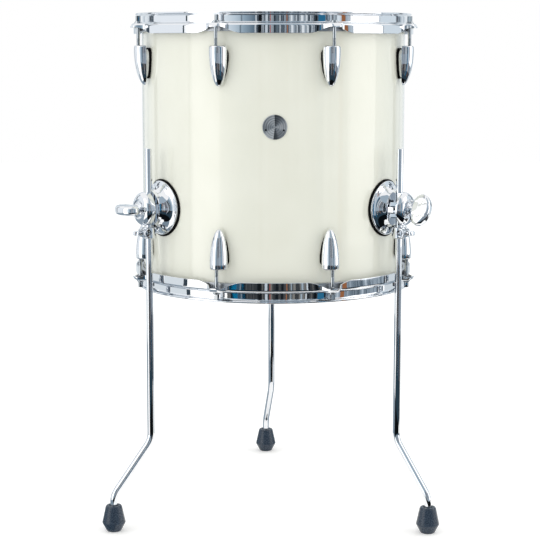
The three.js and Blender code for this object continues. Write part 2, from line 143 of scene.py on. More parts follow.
def spun(line, steps, closed=False):
    # an [radius, height] line turned once about +Z
    bm = bmesh.new()
    points = [bm.verts.new((x, 0, z)) for x, z in line]
    edges = [bm.edges.new(pair) for pair in zip(points, points[1:])]
    if closed:
        edges.append(bm.edges.new((points[-1], points[0])))
    bmesh.ops.spin(bm, geom=points + edges, cent=(0, 0, 0), axis=(0, 0, 1), dvec=(0, 0, 0),
                   angle=2 * math.pi, steps=steps, use_merge=True, use_duplicate=False)
    bmesh.ops.remove_doubles(bm, verts=bm.verts, dist=0.0005)
    bmesh.ops.recalc_face_normals(bm, faces=bm.faces)
    return bm


def outward(bm):
    # a shape turned about +Z, laid so that it is turned about +X
    bmesh.ops.rotate(bm, verts=bm.verts, cent=(0, 0, 0), matrix=Matrix.Rotation(math.pi / 2, 3, "Y"))
    return bm


def prism(line, vector, toPoint):
    # a closed line as a face, drawn out along a vector
    bm = bmesh.new()
    face = bm.faces.new([bm.verts.new(toPoint(a, b)) for a, b in line])
    grown = bmesh.ops.extrude_face_region(bm, geom=[face])
    moved = [item for item in grown["geom"] if isinstance(item, bmesh.types.BMVert)]
    bmesh.ops.translate(bm, verts=moved, vec=vector)
    bmesh.ops.recalc_face_normals(bm, faces=bm.faces)
    return bm


def brick(low, high, bevel=0.0):
    bm = bmesh.new()
    size = Vector(high) - Vector(low)
    place = Matrix.Translation((Vector(low) + Vector(high)) / 2) @ Matrix.Diagonal((*size, 1))
    bmesh.ops.create_cube(bm, size=1, matrix=place)
    if bevel:
        bmesh.ops.bevel(bm, geom=bm.edges[:], offset=bevel, offset_type="OFFSET", segments=2,
                        profile=0.5, affect="EDGES", material=-1)
    return bm


def rod(radius, low, high, segments):
    return spun([(0, low), (radius, low), (radius, high), (0, high)], segments)


def moved(bm, x=0, y=0, z=0):
    bmesh.ops.translate(bm, verts=bm.verts, vec=(x, y, z))
    return bm


def turned(bm, angle, axis):
    bmesh.ops.rotate(bm, verts=bm.verts, cent=(0, 0, 0), matrix=Matrix.Rotation(angle, 3, axis))
    return bm


def joined(*parts):
    # several closed shapes in one mesh
    whole = bmesh.new()
    for part in parts:
        mesh = meshOf("part", part)
        whole.from_mesh(mesh)
        bpy.data.meshes.remove(mesh)
    return whole


def fused(target, tools, operation):
    # union or difference with each tool, as Blender's own modifier makes it
    body = objectOf("cutBody", meshOf("cutBody", target))
    helpers = [objectOf("cutTool", meshOf("cutTool", tool)) for tool in tools]
    for helper in helpers:
        modifier = body.modifiers.new("cut", "BOOLEAN")
        modifier.object = helper
        modifier.operation = operation
        modifier.solver = "EXACT"
    graph = bpy.context.evaluated_depsgraph_get()
    made = bmesh.new()
    made.from_mesh(body.evaluated_get(graph).to_mesh())
    for item in [body, *helpers]:
        mesh = item.data
        bpy.data.objects.remove(item)
        bpy.data.meshes.remove(mesh)
    bmesh.ops.remove_doubles(made, verts=made.verts, dist=0.001)
    return made


def cut(target, *tools):
    return fused(target, tools, "DIFFERENCE")


def union(target, *tools):
    return fused(target, tools, "UNION")


# Finished pieces

def addPiece(name, bm, place, body, materials, nodes=(), keep=False):
    shape = bm.copy() if keep else bm
    bmesh.ops.transform(shape, matrix=place, verts=shape.verts)
    for face in shape.faces:
        face.smooth = True
    for edge in shape.edges:
        if edge.is_manifold and edge.calc_face_angle(0) > sharpAngle:
            edge.smooth = False
    mesh = meshOf(name, shape)
    for material in materials:
        mesh.materials.append(material)
    piece = objectOf(name, mesh)
    flats = piece.modifiers.new("flats", "WEIGHTED_NORMAL")  # keeps flat faces flat beside their soft edges
    flats.keep_sharp = True
    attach(piece, body)
    if nodes:
        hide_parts(*nodes)
    return piece


# Colours and materials

def linear(hexColour):
    channels = [int(hexColour[i:i + 2], 16) / 255 for i in (1, 3, 5)]
    return (*[c / 12.92 if c <= 0.04045 else ((c + 0.055) / 1.055) ** 2.4 for c in channels], 1)


def addNode(tree, kind, inputs=None, **settings):
    # inputs are values, or the output sockets that feed them
    made = tree.nodes.new(kind)
    for name, value in settings.items():
        setattr(made, name, value)
    for name, value in (inputs or {}).items():
        if isinstance(value, bpy.types.NodeSocket):
            tree.links.new(value, made.inputs[name])
        else:
            made.inputs[name].default_value = value
    return made


def addRamp(tree, value, stops):
    ramp = addNode(tree, "ShaderNodeValToRGB", {"Fac": value})
    while len(ramp.color_ramp.elements) < len(stops):
        ramp.color_ramp.elements.new(0.5)
    for element, (position, colour) in zip(ramp.color_ramp.elements, stops):
        element.position = position
        element.color = linear(colour)
    return ramp.outputs["Color"]


def newMaterial(name, **constants):
    material = bpy.data.materials.new(name)
    material.use_nodes = True
    tree = material.node_tree
    shader = tree.nodes["Principled BSDF"]
    for key, value in constants.items():
        shader.inputs[key.replace("_", " ")].default_value = value
    return material, tree, shader


def perSize(size):
    # noise scale for features of this many millimetres
    return 1 / (size * mm)


def noise(tree, size, detail, vector=None):
    where = vector or addNode(tree, "ShaderNodeTexCoord").outputs["Object"]
    return addNode(tree, "ShaderNodeTexNoise", {"Vector": where, "Scale": perSize(size), "Detail": detail})


def bump(tree, height, depth, shader, sockets=("Normal",)):
    # depth in millimetres
    made = addNode(tree, "ShaderNodeBump", {"Height": height, "Strength": 1.0, "Distance": depth * mm})
    for socket in sockets:
        tree.links.new(made.outputs["Normal"], shader.inputs[socket])


def span(tree, value, low, high):
    # a 0 to 1 value as low to high
    ends = {"Value": value, "To Min": low, "To Max": high}
    return addNode(tree, "ShaderNodeMapRange", ends).outputs["Result"]


def patterned(tree, shader, pattern, stops=None, rough=None, depth=None):
    # lets one pattern give a finish its colours, its roughness and its relief
    value = pattern.outputs["Fac"]
    if stops:
        tree.links.new(addRamp(tree, value, stops), shader.inputs["Base Color"])
    if rough:
        tree.links.new(span(tree, value, *rough), shader.inputs["Roughness"])
    if depth:
        bump(tree, value, depth, shader)


lacquer = {"colour": "#E8E9DC", "tint": "#E5E6D8", "orangePeel": 3.0, "peelDepth": 0.0035}


def makeLacquer():
    # Polyurethane lacquer, sprayed and buffed: deep gloss with a faint orange peel over an ivory ground
    material, tree, shader = newMaterial("buffedIvoryLacquer", Roughness=0.32, IOR=1.5, Coat_Weight=1.0,
                                         Coat_Roughness=0.025, Coat_IOR=1.5)
    drift = noise(tree, 60, 1.0)
    patterned(tree, shader, drift, [(0.3, lacquer["tint"]), (0.7, lacquer["colour"])])
    peel = noise(tree, lacquer["orangePeel"], 1.0)
    bump(tree, peel.outputs["Fac"], lacquer["peelDepth"], shader, ("Normal", "Coat Normal"))
    return material


def makeMaple():
    # Maple veneer, rotary cut and sanded: pale, with long grain across the ply and a low sheen
    material, tree, shader = newMaterial("rotaryCutMaple", Roughness=0.55, IOR=1.5)
    where = addNode(tree, "ShaderNodeTexCoord").outputs["Object"]
    stretched = addNode(tree, "ShaderNodeMapping", {"Vector": where, "Scale": (1, 1, 12)}).outputs["Vector"]
    grain = noise(tree, 40, 6.0, stretched)
    patterned(tree, shader, grain, [(0.3, "#C79B63"), (0.5, "#DDB987"), (0.75, "#E9CFA4")], depth=0.05)
    return material


def makeChrome(name, waves, waveDepth, colour="#EFF1F4"):
    # Chrome plate, polished bright over nickel: a mirror with slight waves and faint wiping haze
    material, tree, shader = newMaterial(name, Metallic=1.0)
    shader.inputs["Base Color"].default_value = linear(colour)
    patterned(tree, shader, noise(tree, 14, 3.0), rough=(0.012, 0.05))
    patterned(tree, shader, noise(tree, waves, 1.0), depth=waveDepth)
    return material


paintedReflectionWedges = [  # painted reflection: share of a turn from the left end, clockwise from below, and the painted light and dark tone there
    (0.0, "#7D848B"), (0.06, "#888F96"), (0.1, "#B3B8BD"), (0.225, "#BCC1C5"), (0.235, "#3C4147"),
    (0.28, "#4A5056"), (0.32, "#7A8087"), (0.4, "#7F868D"), (0.47, "#A6ABB0"), (0.55, "#A3A8AD"),
    (0.61, "#7E858C"), (0.67, "#5C6268"), (0.75, "#3D4248"), (0.76, "#ABB0B5"), (0.87, "#9CA2A8"),
    (1.0, "#7D848B"),
]


def makeNickelWithPaintedReflection():
    # Nickel plate, turned on a lathe: fine rings, and light and dark wedges of painted reflection in the
    # base colour
    material, tree, shader = newMaterial("turnedNickelPaintedReflection", Metallic=0.5)
    low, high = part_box("badge")
    where = addNode(tree, "ShaderNodeTexCoord").outputs["Object"]
    centred = addNode(tree, "ShaderNodeMapping", {"Vector": where, "Location": (low + high) / -2})
    upright = {"Vector": centred.outputs["Vector"], "Rotation": (-math.pi / 2, 0, 0)}
    facing = addNode(tree, "ShaderNodeMapping", upright).outputs["Vector"]
    turn = addNode(tree, "ShaderNodeTexGradient", {"Vector": facing}, gradient_type="RADIAL")
    rings = addNode(tree, "ShaderNodeTexWave",
                    {"Vector": facing, "Scale": perSize(10), "Distortion": 0.6, "Detail": 1.0},
                    wave_type="RINGS", rings_direction="Z")  # real rings are finer, too fine to show
    # painted reflection: the wedge tones, brightened and darkened by the rings, become the base colour
    paintedWedgeShine = addNode(tree, "ShaderNodeHueSaturation",
                    {"Color": addRamp(tree, turn.outputs["Fac"], paintedReflectionWedges),
                     "Value": span(tree, rings.outputs["Fac"], 0.72, 1.16)})
    tree.links.new(paintedWedgeShine.outputs["Color"], shader.inputs["Base Color"])
    tree.links.new(span(tree, rings.outputs["Fac"], 0.32, 0.5), shader.inputs["Roughness"])
    bump(tree, rings.outputs["Fac"], 0.03, shader)
    return material


def makeRubber(name, colour, light, grain, rough, gloss):
    # Rubber, moulded in a sand-blasted tool: dark, with a fine grain and a wide dull sheen
    material, tree, shader = newMaterial(name, IOR=1.52, Specular_IOR_Level=gloss)
    patterned(tree, shader, noise(tree, grain, 4.0), [(0.3, colour), (0.75, light)],
              (rough - 0.06, rough + 0.08), 0.04)
    return material


def makeCoatedFilm():
    # Polyester film, sprayed with a matt coating: white, with a grit that the stick can feel
    material, tree, shader = newMaterial("sprayCoatedFilm", Roughness=0.78, IOR=1.45)
    grit = noise(tree, 1.4, 5.0)  # real grit is 0.2 mm, too fine to show
    patterned(tree, shader, grit, [(0.3, "#E9E8E2"), (0.7, "#F4F3EE")], depth=0.06)
    return material


def makeBareFilm():
    # Polyester film, drawn and heat-formed: milky clear, smooth, with slight haze
    material, tree, shader = newMaterial("hazyPolyesterFilm", IOR=1.45, Transmission_Weight=0.85)
    shader.inputs["Base Color"].default_value = linear("#F2F4F4")
    patterned(tree, shader, noise(tree, 30, 2.0), rough=(0.12, 0.22))
    return material


def makeAluminium():
    # Aluminium, extruded and rolled into a ring: pale grey with lines along the roll
    material, tree, shader = newMaterial("rolledAluminium", Metallic=1.0)
    where = addNode(tree, "ShaderNodeTexCoord").outputs["Object"]
    stretched = addNode(tree, "ShaderNodeMapping", {"Vector": where, "Scale": (1, 1, 40)}).outputs["Vector"]
    lines = noise(tree, 20, 3.0, stretched)
    patterned(tree, shader, lines, [(0.3, "#A9ACB0"), (0.7, "#C4C7CB")], (0.28, 0.42))
    return material


def makeDarkSteel():
    # Steel, blackened in oil: nearly black, satin, a little uneven
    material, tree, shader = newMaterial("blackenedSteel", Metallic=1.0)
    patterned(tree, shader, noise(tree, 2.0, 3.0), [(0.3, "#24272B"), (0.7, "#3A3E43")], (0.25, 0.4))
    return material


lacquerFinish = makeLacquer()
mapleFinish = makeMaple()
chromeSteel = makeChrome("drawnSteelChrome", 35, 0.02)
chromeCasting = makeChrome("castZincChrome", 12, 0.012)
# the rods' chrome has a darker base colour: painted shade for the darker reflections along the rods
rodChromeWithPaintedShade = makeChrome("threadRolledSteelChrome", 20, 0.02, "#C2C6C9")
nickelWithPaintedReflection = makeNickelWithPaintedReflection()
gasketRubber = makeRubber("mouldedGasketRubber", "#030304", "#090A0B", 0.8, 0.7, 0.12)
footRubber = makeRubber("mouldedFootRubber", "#1F2C3A", "#2E3E50", 1.2, 0.26, 0.5)
coatedFilm = makeCoatedFilm()
bareFilm = makeBareFilm()
aluminiumFinish = makeAluminium()
darkSteel = makeDarkSteel()
print("materials made")


# Shell
shell = {"wall": 7.2, "setback": 2.0, "edgeRound": 0.8, "steps": 240, "ventDrop": 124.9, "ventHole": 5.5,
         "ventZone": 6.5}


def makeShell():
    outer = shellRadius
    inner = outer - shell["wall"]
    peak = outer - shell["setback"]
    vent = shellDepth - shell["ventDrop"]
    soft = shell["edgeRound"]
    line = softened([
        (inner, vent + shell["ventZone"], 0),
        (inner, vent - shell["ventZone"], 0),
        (inner, peak - inner, soft),
        (peak, 0, soft),
        (outer, shell["setback"], soft),
        (outer, vent - shell["ventZone"], 0),
        (outer, vent + shell["ventZone"], 0),
        (outer, shellDepth - shell["setback"], soft),
        (peak, shellDepth, soft),
        (inner, shellDepth - peak + inner, soft),
    ], closed=True)
    bm = spun(line, shell["steps"], closed=True)
    hole = moved(turned(outward(rod(shell["ventHole"], inner - 5, outer + 5, 32)), math.pi / 2, "Z"), z=vent)
    bm = cut(bm, hole)
    for face in bm.faces:
        middle = face.calc_center_median()
        if math.hypot(middle.x, middle.y) < outer - shell["setback"] / 2:
            face.material_index = 1
    addPiece("shell_lacquered", bm, atStation(0, edgeHeights["bottom"]), "root",
             [lacquerFinish, mapleFinish], ["shell"])


# Heads
head = {"film": 0.3, "gap": 0.3, "collar": 12.0, "fleshTop": -12.5, "fleshHeight": 9.5, "fleshWidth": 6.2,
        "steps": 192}


def makeHead(end, node, filmMaterial):
    peak = shellRadius - shell["setback"]
    side = shellRadius + head["gap"]
    film = head["film"]
    line = softened([
        (0, head["gap"] + film, 0),
        (peak - head["collar"], head["gap"] + film, 0),
        (peak, head["gap"] + film, 1.2),
        (side + film, -shell["setback"], 1.2),
        (side + film, head["fleshTop"] - 1, 0),
        (side, head["fleshTop"] - 1, 0),
        (side, -shell["setback"], 1.0),
        (peak, head["gap"], 1.0),
        (0, head["gap"], 0),
    ])
    bm = spun(line, head["steps"])
    for face in bm.faces:
        middle = face.calc_center_median()
        if math.hypot(middle.x, middle.y) > peak - head["collar"]:
            face.material_index = 1
    addPiece(f"{node}_film", bm, atEnd(end, 0), "root", [filmMaterial, bareFilm], [node])
    top = head["fleshTop"]
    low = top - head["fleshHeight"]
    ring = spun(softened([
        (side + film + 0.1, top, 0.8),
        (side + head["fleshWidth"], top, 0.8),
        (side + head["fleshWidth"], low, 0.8),
        (side + film + 0.1, low, 0.8),
    ], closed=True), head["steps"], closed=True)
    addPiece(f"{node}_flesh_hoop", ring, atEnd(end, 0), "root", [aluminiumFinish])


# Hoops: one pressed steel profile whose flange and skirt swell outward into an ear at each rod
hoop = {"steel": 2.3, "wall": 2.8, "rise": 6.1, "lipReach": 4.2, "lipDepth": 4.0, "flange": 9.9,
        "skirt": 12.3, "skirtDrop": 24.9, "rootRound": 2.3, "shoulderRound": 4.3, "steps": 960}
ear = {"reach": 14.6, "flatHalf": 4.5, "rootHalf": 17.0, "droopStart": 22.0, "droop": 2.4, "hole": 3.8,
       "edgeLift": 10.6, "liftStart": 7.0, "liftEnd": 36.0, "liftPower": 1.7}


def makeHoop():
    wallIn = shellRadius + hoop["wall"]
    wallOut = wallIn + hoop["steel"]
    lip = wallOut + hoop["lipReach"]
    skirtOut = shellRadius + hoop["skirt"]
    skirtIn = skirtOut - hoop["steel"]
    flangeTop = -hoop["flange"]
    flangeLow = flangeTop - hoop["steel"]
    lipRoot = hoop["rise"] - hoop["lipDepth"]
    root = wallOut + hoop["rootRound"]
    shoulder = skirtOut - hoop["shoulderRound"]
    flat = [root + (shoulder - root) * share for share in (0, 0.25, 0.5, 0.75, 1)]
    half = (flangeLow - hoop["skirtDrop"]) / 2
    line = softened([
        (wallIn, flangeLow + 3, 0),
        (wallIn, flangeLow, 3.0),
        *[(x, flangeLow, 0) for x in flat],
        (skirtIn, flangeLow, 2.0),
        (skirtIn, half, 0),
        (skirtIn, -hoop["skirtDrop"], 0.7),
        (skirtOut, -hoop["skirtDrop"], 0.7),
        (skirtOut, half, 0),
        (skirtOut, flangeTop - hoop["shoulderRound"], 0),
    ])
    line += roundCorner(skirtOut - hoop["shoulderRound"], flangeTop - hoop["shoulderRound"],
                        hoop["shoulderRound"], 0, 90)
    line += [Vector((x, flangeTop)) for x in reversed(flat)]
    line += roundCorner(wallOut + hoop["rootRound"], flangeTop + hoop["rootRound"],
                        hoop["rootRound"], 270, 180)
    line += softened([
        (wallOut, flangeTop + hoop["rootRound"], 0),
        (wallOut, lipRoot, 3.0),
        (lip, hoop["rise"] - hoop["steel"], 0.9),
        (lip, hoop["rise"], 1.1),
        (wallIn + hoop["steel"] / 2, hoop["rise"], 2.5),
        (wallIn, lipRoot, 3.0),
        (wallIn, flangeTop + 3, 0),
    ])
    bm = spun(line, hoop["steps"], closed=True)
    for vert in bm.verts:
        pressEar(vert, root, shoulder, skirtIn, flangeTop)
    hole = moved(rod(ear["hole"], flangeLow - 8, flangeTop + 4, 24), x=rodAxis)
    return cut(bm, joined(*[turned(hole.copy(), station, "Z") for station in stations["top"]]))


def roundCorner(x, z, radius, start, end):
    # points of an arc round (x, z) between its two ends, which are left out
    turns = [math.radians(start + (end - start) * step / 8) for step in range(1, 8)]
    return [Vector((x, z)) + radius * Vector((math.cos(turn), math.sin(turn))) for turn in turns]


def pressEar(vert, root, shoulder, skirtIn, flangeTop):
    # moves a point of the flange or skirt as the press that forms the ears does
    reach = math.hypot(vert.co.x, vert.co.y)
    if reach <= root + 0.02 or vert.co.z > flangeTop + 0.1:
        return
    angle = math.atan2(vert.co.y, vert.co.x)
    gap = min(abs((angle - station + math.pi) % (2 * math.pi) - math.pi) for station in stations["top"])
    along = gap * skirtIn
    swell = ear["reach"] * (1 - smoothStep((along - ear["flatHalf"]) / (ear["rootHalf"] - ear["flatHalf"])))
    share = min(1, (reach - root) / (shoulder - root))
    flangeLow = flangeTop - hoop["steel"]
    depth = (flangeLow - vert.co.z) / (hoop["skirtDrop"] + flangeLow)
    if depth > 0 and reach > skirtIn - 0.1:
        lift = min(1, max(0, (along - ear["liftStart"]) / (ear["liftEnd"] - ear["liftStart"])))
        vert.co.z += ear["edgeLift"] * (1 - lift) ** ear["liftPower"] * min(1, depth)
    grown = reach + swell * share
    beyond = smoothStep((grown - shellRadius - ear["droopStart"]) / 6)
    vert.co.z -= ear["droop"] * beyond * swell / ear["reach"]
    vert.co.x *= grown / reach
    vert.co.y *= grown / reach


def makeHoops():
    ring = makeHoop()
    for end in ("top", "bottom"):
        addPiece(f"{end}_hoop_pressed", ring, atEnd(end, 0), "root", [chromeSteel], [f"{end}_hoop"],
                 keep=True)
    ring.free()


# Lugs: a half bullet whose back edge stands clear of a leaf-shaped foot on its gasket
lug = {"drop": 42.5, "length": 59.0, "width": 28.0, "front": 13.5, "rim": 1.2, "face": 22.8, "lean": 3.0,
       "shoulder": 2.2, "mouth": 4.3, "mouthDepth": 7.0, "edgeTurn": 76, "backPower": 0.3, "steps": 96}
lugShares = [(0.00, 0.96), (0.10, 1.00), (0.22, 0.995), (0.34, 0.97), (0.46, 0.93), (0.58, 0.86),
             (0.68, 0.78), (0.77, 0.68), (0.85, 0.56), (0.92, 0.41), (0.97, 0.25), (1.0, 0.0)]
lugFoot = {"length": 41.4, "width": 21.5, "setback": 5.5, "undercut": 0.97, "middle": 0.42,
           "corner": 7.0, "endCorner": 5.25}
lugFootShares = [(0.55, 0.0), (1.0, 0.1), (1.0, 0.36), (0.8, 0.72), (0.42, 1.0)]
lugGasket = {"thickness": 2.5, "proud": 2.2}


def leafLine(length, width, top):
    # leaf outline as [y, z], widest near its upper end
    right = [(y * width / 2, top - z * length) for y, z in lugFootShares]
    last = len(right) - 1
    corners = [(y, z, lugFoot["endCorner" if i in (0, last) else "corner"])
               for i, (y, z) in enumerate(right)]
    mirror = [(-y, z, r) for y, z, r in reversed(corners)]
    return softened(corners + mirror, closed=True)


def sag(y, radius):
    return radius - math.sqrt(radius * radius - y * y)


def makeLug():
    middle = shellRadius + lug["face"] - lug["front"]
    width = lug["width"] / 2
    line = [(0, 0)] + softened([(0, 0, 0), (lugShares[0][1] * width, 0, lug["shoulder"]),
                                (width, -lugShares[1][0] * lug["length"], 0)])[1:-1]
    line += smoothed([(share * width, -along * lug["length"]) for along, share in lugShares[1:]])
    bm = spun(line, lug["steps"])
    edgeTurn = math.radians(lug["edgeTurn"])
    for vert in bm.verts:
        along = vert.co.z / lug["length"]
        share = math.hypot(vert.co.x, vert.co.y) / width
        if share > 0:
            turn = math.atan2(vert.co.y, vert.co.x)
            if abs(turn) <= math.pi / 2 + 0.001:
                turn *= edgeTurn / (math.pi / 2)
                rise = (math.cos(turn) - math.cos(edgeTurn)) / (1 - math.cos(edgeTurn))
                vert.co.x = share * lug["front"] * rise
                vert.co.y = share * width * math.sin(turn) / math.sin(edgeTurn)
            else:
                back, side = -math.cos(turn), math.sin(turn)
                vert.co.x = -min(1, 2 * share) * lug["rim"] * back ** lug["backPower"]
                vert.co.y = share * width * math.copysign(abs(side) ** lug["backPower"], side)
        vert.co.x += middle - lug["lean"] * along * along
    mouth = moved(rod(lug["mouth"], -lug["mouthDepth"], 3, 32), x=rodAxis)
    bm = cut(bm, mouth)
    foot = leafLine(lugFoot["length"], lugFoot["width"], -lugFoot["setback"])
    pedestal = bmesh.new()
    base = shellRadius + lugGasket["thickness"]
    levels = [(base, lugFoot["undercut"]), (base + 1.5, 1.0), (middle, 1.0)]
    centreZ = -lugFoot["setback"] - lugFoot["length"] * lugFoot["middle"]
    rings = []
    for x, share in levels:
        ring = [pedestal.verts.new((x - (sag(y, shellRadius) if x < base + 2 else 0), y * share,
                                    centreZ + (z - centreZ) * (0.5 + share / 2))) for y, z in foot]
        rings.append([pedestal.edges.new((a, b)) for a, b in zip(ring, ring[1:] + ring[:1])])
        if x in (base, middle):
            pedestal.faces.new(ring)
    for lower, upper in zip(rings, rings[1:]):
        bmesh.ops.bridge_loops(pedestal, edges=lower + upper)
    bmesh.ops.recalc_face_normals(pedestal, faces=pedestal.faces)
    nut = spun(softened([(2.9, -5.5, 0), (lug["mouth"] - 0.4, -5.5, 0), (lug["mouth"] - 0.4, -0.8, 0.4),
                         (2.9, -0.8, 0.4)], closed=True), 32, closed=True)
    return joined(bm, pedestal, moved(nut, x=rodAxis))


def smoothed(points, steps=4):
    # points joined by a smooth curve that passes through them
    path = [Vector(point) for point in points]
    ends = [path[0] * 2 - path[1], *path, path[-1] * 2 - path[-2]]
    line = [path[0]]
    for i in range(1, len(ends) - 2):
        a, b, c, d = ends[i - 1:i + 3]
        for k in range(1, steps + 1):
            t = k / steps
            line.append(0.5 * (2 * b + (c - a) * t + (2 * a - 5 * b + 4 * c - d) * t * t
                               + (3 * b - a - 3 * c + d) * t * t * t))
    return line


def makeLugGasket():
    proud = lugGasket["proud"]
    foot = leafLine(lugFoot["length"] + 2 * proud, lugFoot["width"] + 2 * proud, proud - lugFoot["setback"])
    thickness = lugGasket["thickness"]
    bm = prism(foot, (thickness - 0.15, 0, 0), lambda y, z: (shellRadius + 0.1 - sag(y, shellRadius), y, z))
    return bm


def makeLugs():
    bullet = makeLug()
    gasket = makeLugGasket()
    for end in ("top", "bottom"):
        for i, station in enumerate(stations[end]):
            place = atEnd(end, station) @ Matrix.Translation((0, 0, -lug["drop"]))
            addPiece(f"lug_{end}_{i + 1}_bullet", bullet, place, "root", [chromeCasting],
                     [f"lug_{end}_{i + 1}"], keep=True)
            addPiece(f"lug_{end}_{i + 1}_gasket", gasket, place, "root", [gasketRubber],
                     keep=True)
    bullet.free()
    gasket.free()


# Tension rods
tensionRod = {"diameter": 5.5, "insertion": 24.0, "threadLength": 34.0, "pitch": 1.0, "threadDepth": 0.35,
              "washer": 12.0, "washerThickness": 1.2, "collar": 9.6, "collarHeight": 1.8, "across": 6.2,
              "headHeight": 8.0, "seat": 0.3}


def makeRod():
    radius = tensionRod["diameter"] / 2
    length = lug["drop"] - hoop["flange"] + tensionRod["insertion"]
    depth = tensionRod["threadDepth"]
    pitch = tensionRod["pitch"]
    line = [(0, -length), (radius - 2 * depth, -length)]
    turns = round(tensionRod["threadLength"] / pitch)
    for i in range(turns):
        low = -length + 0.5 + i * pitch
        line += [(radius - depth, low), (radius, low + 0.35 * pitch), (radius, low + 0.5 * pitch),
                 (radius - depth, low + 0.85 * pitch)]
    seat = tensionRod["seat"]
    washerTop = seat + tensionRod["washerThickness"]
    collarTop = washerTop + tensionRod["collarHeight"]
    line += [tuple(point) for point in softened([
        (radius, -length + 1 + turns * pitch, 0),
        (radius, seat, 0),
        (tensionRod["washer"] / 2, seat, 0.3),
        (tensionRod["washer"] / 2, washerTop, 0.4),
        (tensionRod["collar"] / 2, washerTop, 0),
        (tensionRod["collar"] / 2, collarTop, 0.7),
        (0, collarTop, 0),
    ])]
    shaft = spun(line, 32)
    half = tensionRod["across"] / 2
    square = brick((-half, -half, collarTop - 0.5), (half, half, collarTop + tensionRod["headHeight"]), 0.6)
    return joined(shaft, square)


def makeRods():
    bm = makeRod()
    for end in ("top", "bottom"):
        for i, station in enumerate(stations[end]):
            place = atEnd(end, station) @ Matrix.Translation((rodAxis, 0, -hoop["flange"]))
            addPiece(f"tension_rod_{end}_{i + 1}_keyed", bm, place, f"rod_{end}_{i + 1}", [rodChromeWithPaintedShade],
                     [f"tension_rod_{end}_{i + 1}"], keep=True)
    bm.free()


# Badge and vent
badge = {"diameter": 35.5, "thickness": 1.2, "rim": 1.6, "ringRadius": 10.4, "reedsFrom": 11.6,
         "reedsTo": 15.2, "reeds": 60, "nailReach": 13.6, "nailHeads": (-163, -19), "nail": 1.5}
vent = {"bore": 4.0, "wall": 1.2, "flange": 7.5, "flangeThickness": 1.5}


def bentToShell(bm):
    for vert in bm.verts:
        vert.co.x -= sag(vert.co.y, shellRadius)
    return bm


def makeBadge():
    low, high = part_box("badge")
    height = (low.z + high.z) / 2 / mm
    outer = badge["diameter"] / 2
    seat = shellRadius + 0.2
    top = badge["thickness"]
    ring = badge["ringRadius"]
    line = softened([
        (0, 0.75 * top, 0),
        (3.0, 0.75 * top, 0.6),
        (3.4, 0.6 * top, 0.3),
        (ring - 1.5, 0.6 * top, 0.4),
        (ring - 0.9, 0.95 * top, 0.4),
        (ring, 0.95 * top, 0.4),
        (ring + 0.5, 0.55 * top, 0.3),
        (badge["reedsFrom"], 0.6 * top, 0),
        ((badge["reedsFrom"] + badge["reedsTo"]) / 2, 0.62 * top, 0),
        (badge["reedsTo"], 0.6 * top, 0),
        (outer - badge["rim"] - 0.3, 0.6 * top, 0.3),
        (outer - badge["rim"], top, 0.4),
        (outer, top, 0.5),
        (outer, 0, 0),
        (0, 0, 0),
    ])
    steps = badge["reeds"] * 4
    bm = spun(line, steps)
    for vert in bm.verts:
        reach = math.hypot(vert.co.x, vert.co.y)
        if badge["reedsFrom"] + 0.3 < reach < badge["reedsTo"] - 0.3 and vert.co.z > 0.3:
            turn = math.atan2(vert.co.y, vert.co.x) / (2 * math.pi) * badge["reeds"]
            vert.co.z += 0.32 * smoothStep(2 * abs(turn % 1 - 0.5))
    bm = moved(outward(bm), x=seat)
    bentToShell(bm)
    station = math.atan2(low.y + high.y - 2 * drumY, low.x + high.x - 2 * drumX)
    addPiece("badge_turned", bm, atStation(station, height), "root", [nickelWithPaintedReflection], ["badge"])
    nails = []
    for degrees in badge["nailHeads"]:
        nail = spun(softened([(0, 1.6, 0), (badge["nail"] * 0.6, 1.5, 0.5), (badge["nail"], 0.9, 0.4),
                              (badge["nail"], 0.3, 0), (0, 0.3, 0)]), 24)
        y = badge["nailReach"] * math.cos(math.radians(degrees))
        z = badge["nailReach"] * math.sin(math.radians(degrees))
        nails.append(moved(outward(nail), x=seat, y=y, z=z))
    addPiece("badge_nails", bentToShell(joined(*nails)), atStation(station, height), "root", [darkSteel])


def makeVent():
    low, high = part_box("vent_grommet")
    inner = shellRadius - shell["wall"]
    line = softened([
        (vent["bore"], inner - 1.2, 0.4),
        (vent["bore"] + vent["wall"] + 1.4, inner - 1.0, 0.5),
        (vent["bore"] + vent["wall"], inner + 0.2, 0),
        (vent["bore"] + vent["wall"], shellRadius + 0.2, 0),
        (vent["flange"], shellRadius + 0.2, 0.3),
        (vent["flange"], shellRadius + 0.9, 0.5),
        (vent["bore"] + 1.2, shellRadius + vent["flangeThickness"], 0.6),
        (vent["bore"], shellRadius + 0.6, 0.8),
    ], closed=True)
    bm = outward(spun(line, 64, closed=True))
    place = atStation(math.pi / 2, (low.z + high.z) / 2 / mm)
    addPiece("vent_grommet_rolled", bm, place, "root", [chromeSteel], ["vent_grommet"])


# Leg brackets
bracket = {"gasket": 42.8, "gasketThickness": 2.5, "rim": 40.5, "rimThickness": 2.2, "dome": 18.5,
           "clamp": 25.0, "neck": 25.4, "screwReach": 31.5, "screwPocket": 4.6, "screwFloor": 1.6,
           "seatGap": 0.2, "groove": 5.6, "steps": 128}
clampTeeth = {"inset": 7.5, "baseRecess": 3.8, "capRecess": 5.2, "depth": 5.0, "edge": 1.2, "clearance": 1.2,
              "baseLength": 10.0, "baseHeight": 7.8, "capLength": 8.1, "capHeight": 6.6, "capTilt": 14}
bracketScrews = (90, -60, -120)  # degrees, from the horizontal
bracketSeat = shellRadius + bracket["gasketThickness"] + bracket["seatGap"]  # where a base meets its gasket
cap = {"gap": 5.4, "thickness": 16.0, "dish": 13.8, "dishDepth": 2.4}
capShares = [(1.0, 0.0), (1.0, 0.34), (0.985, 0.5), (0.94, 0.64), (0.87, 0.775), (0.77, 0.89), (0.66, 0.96)]


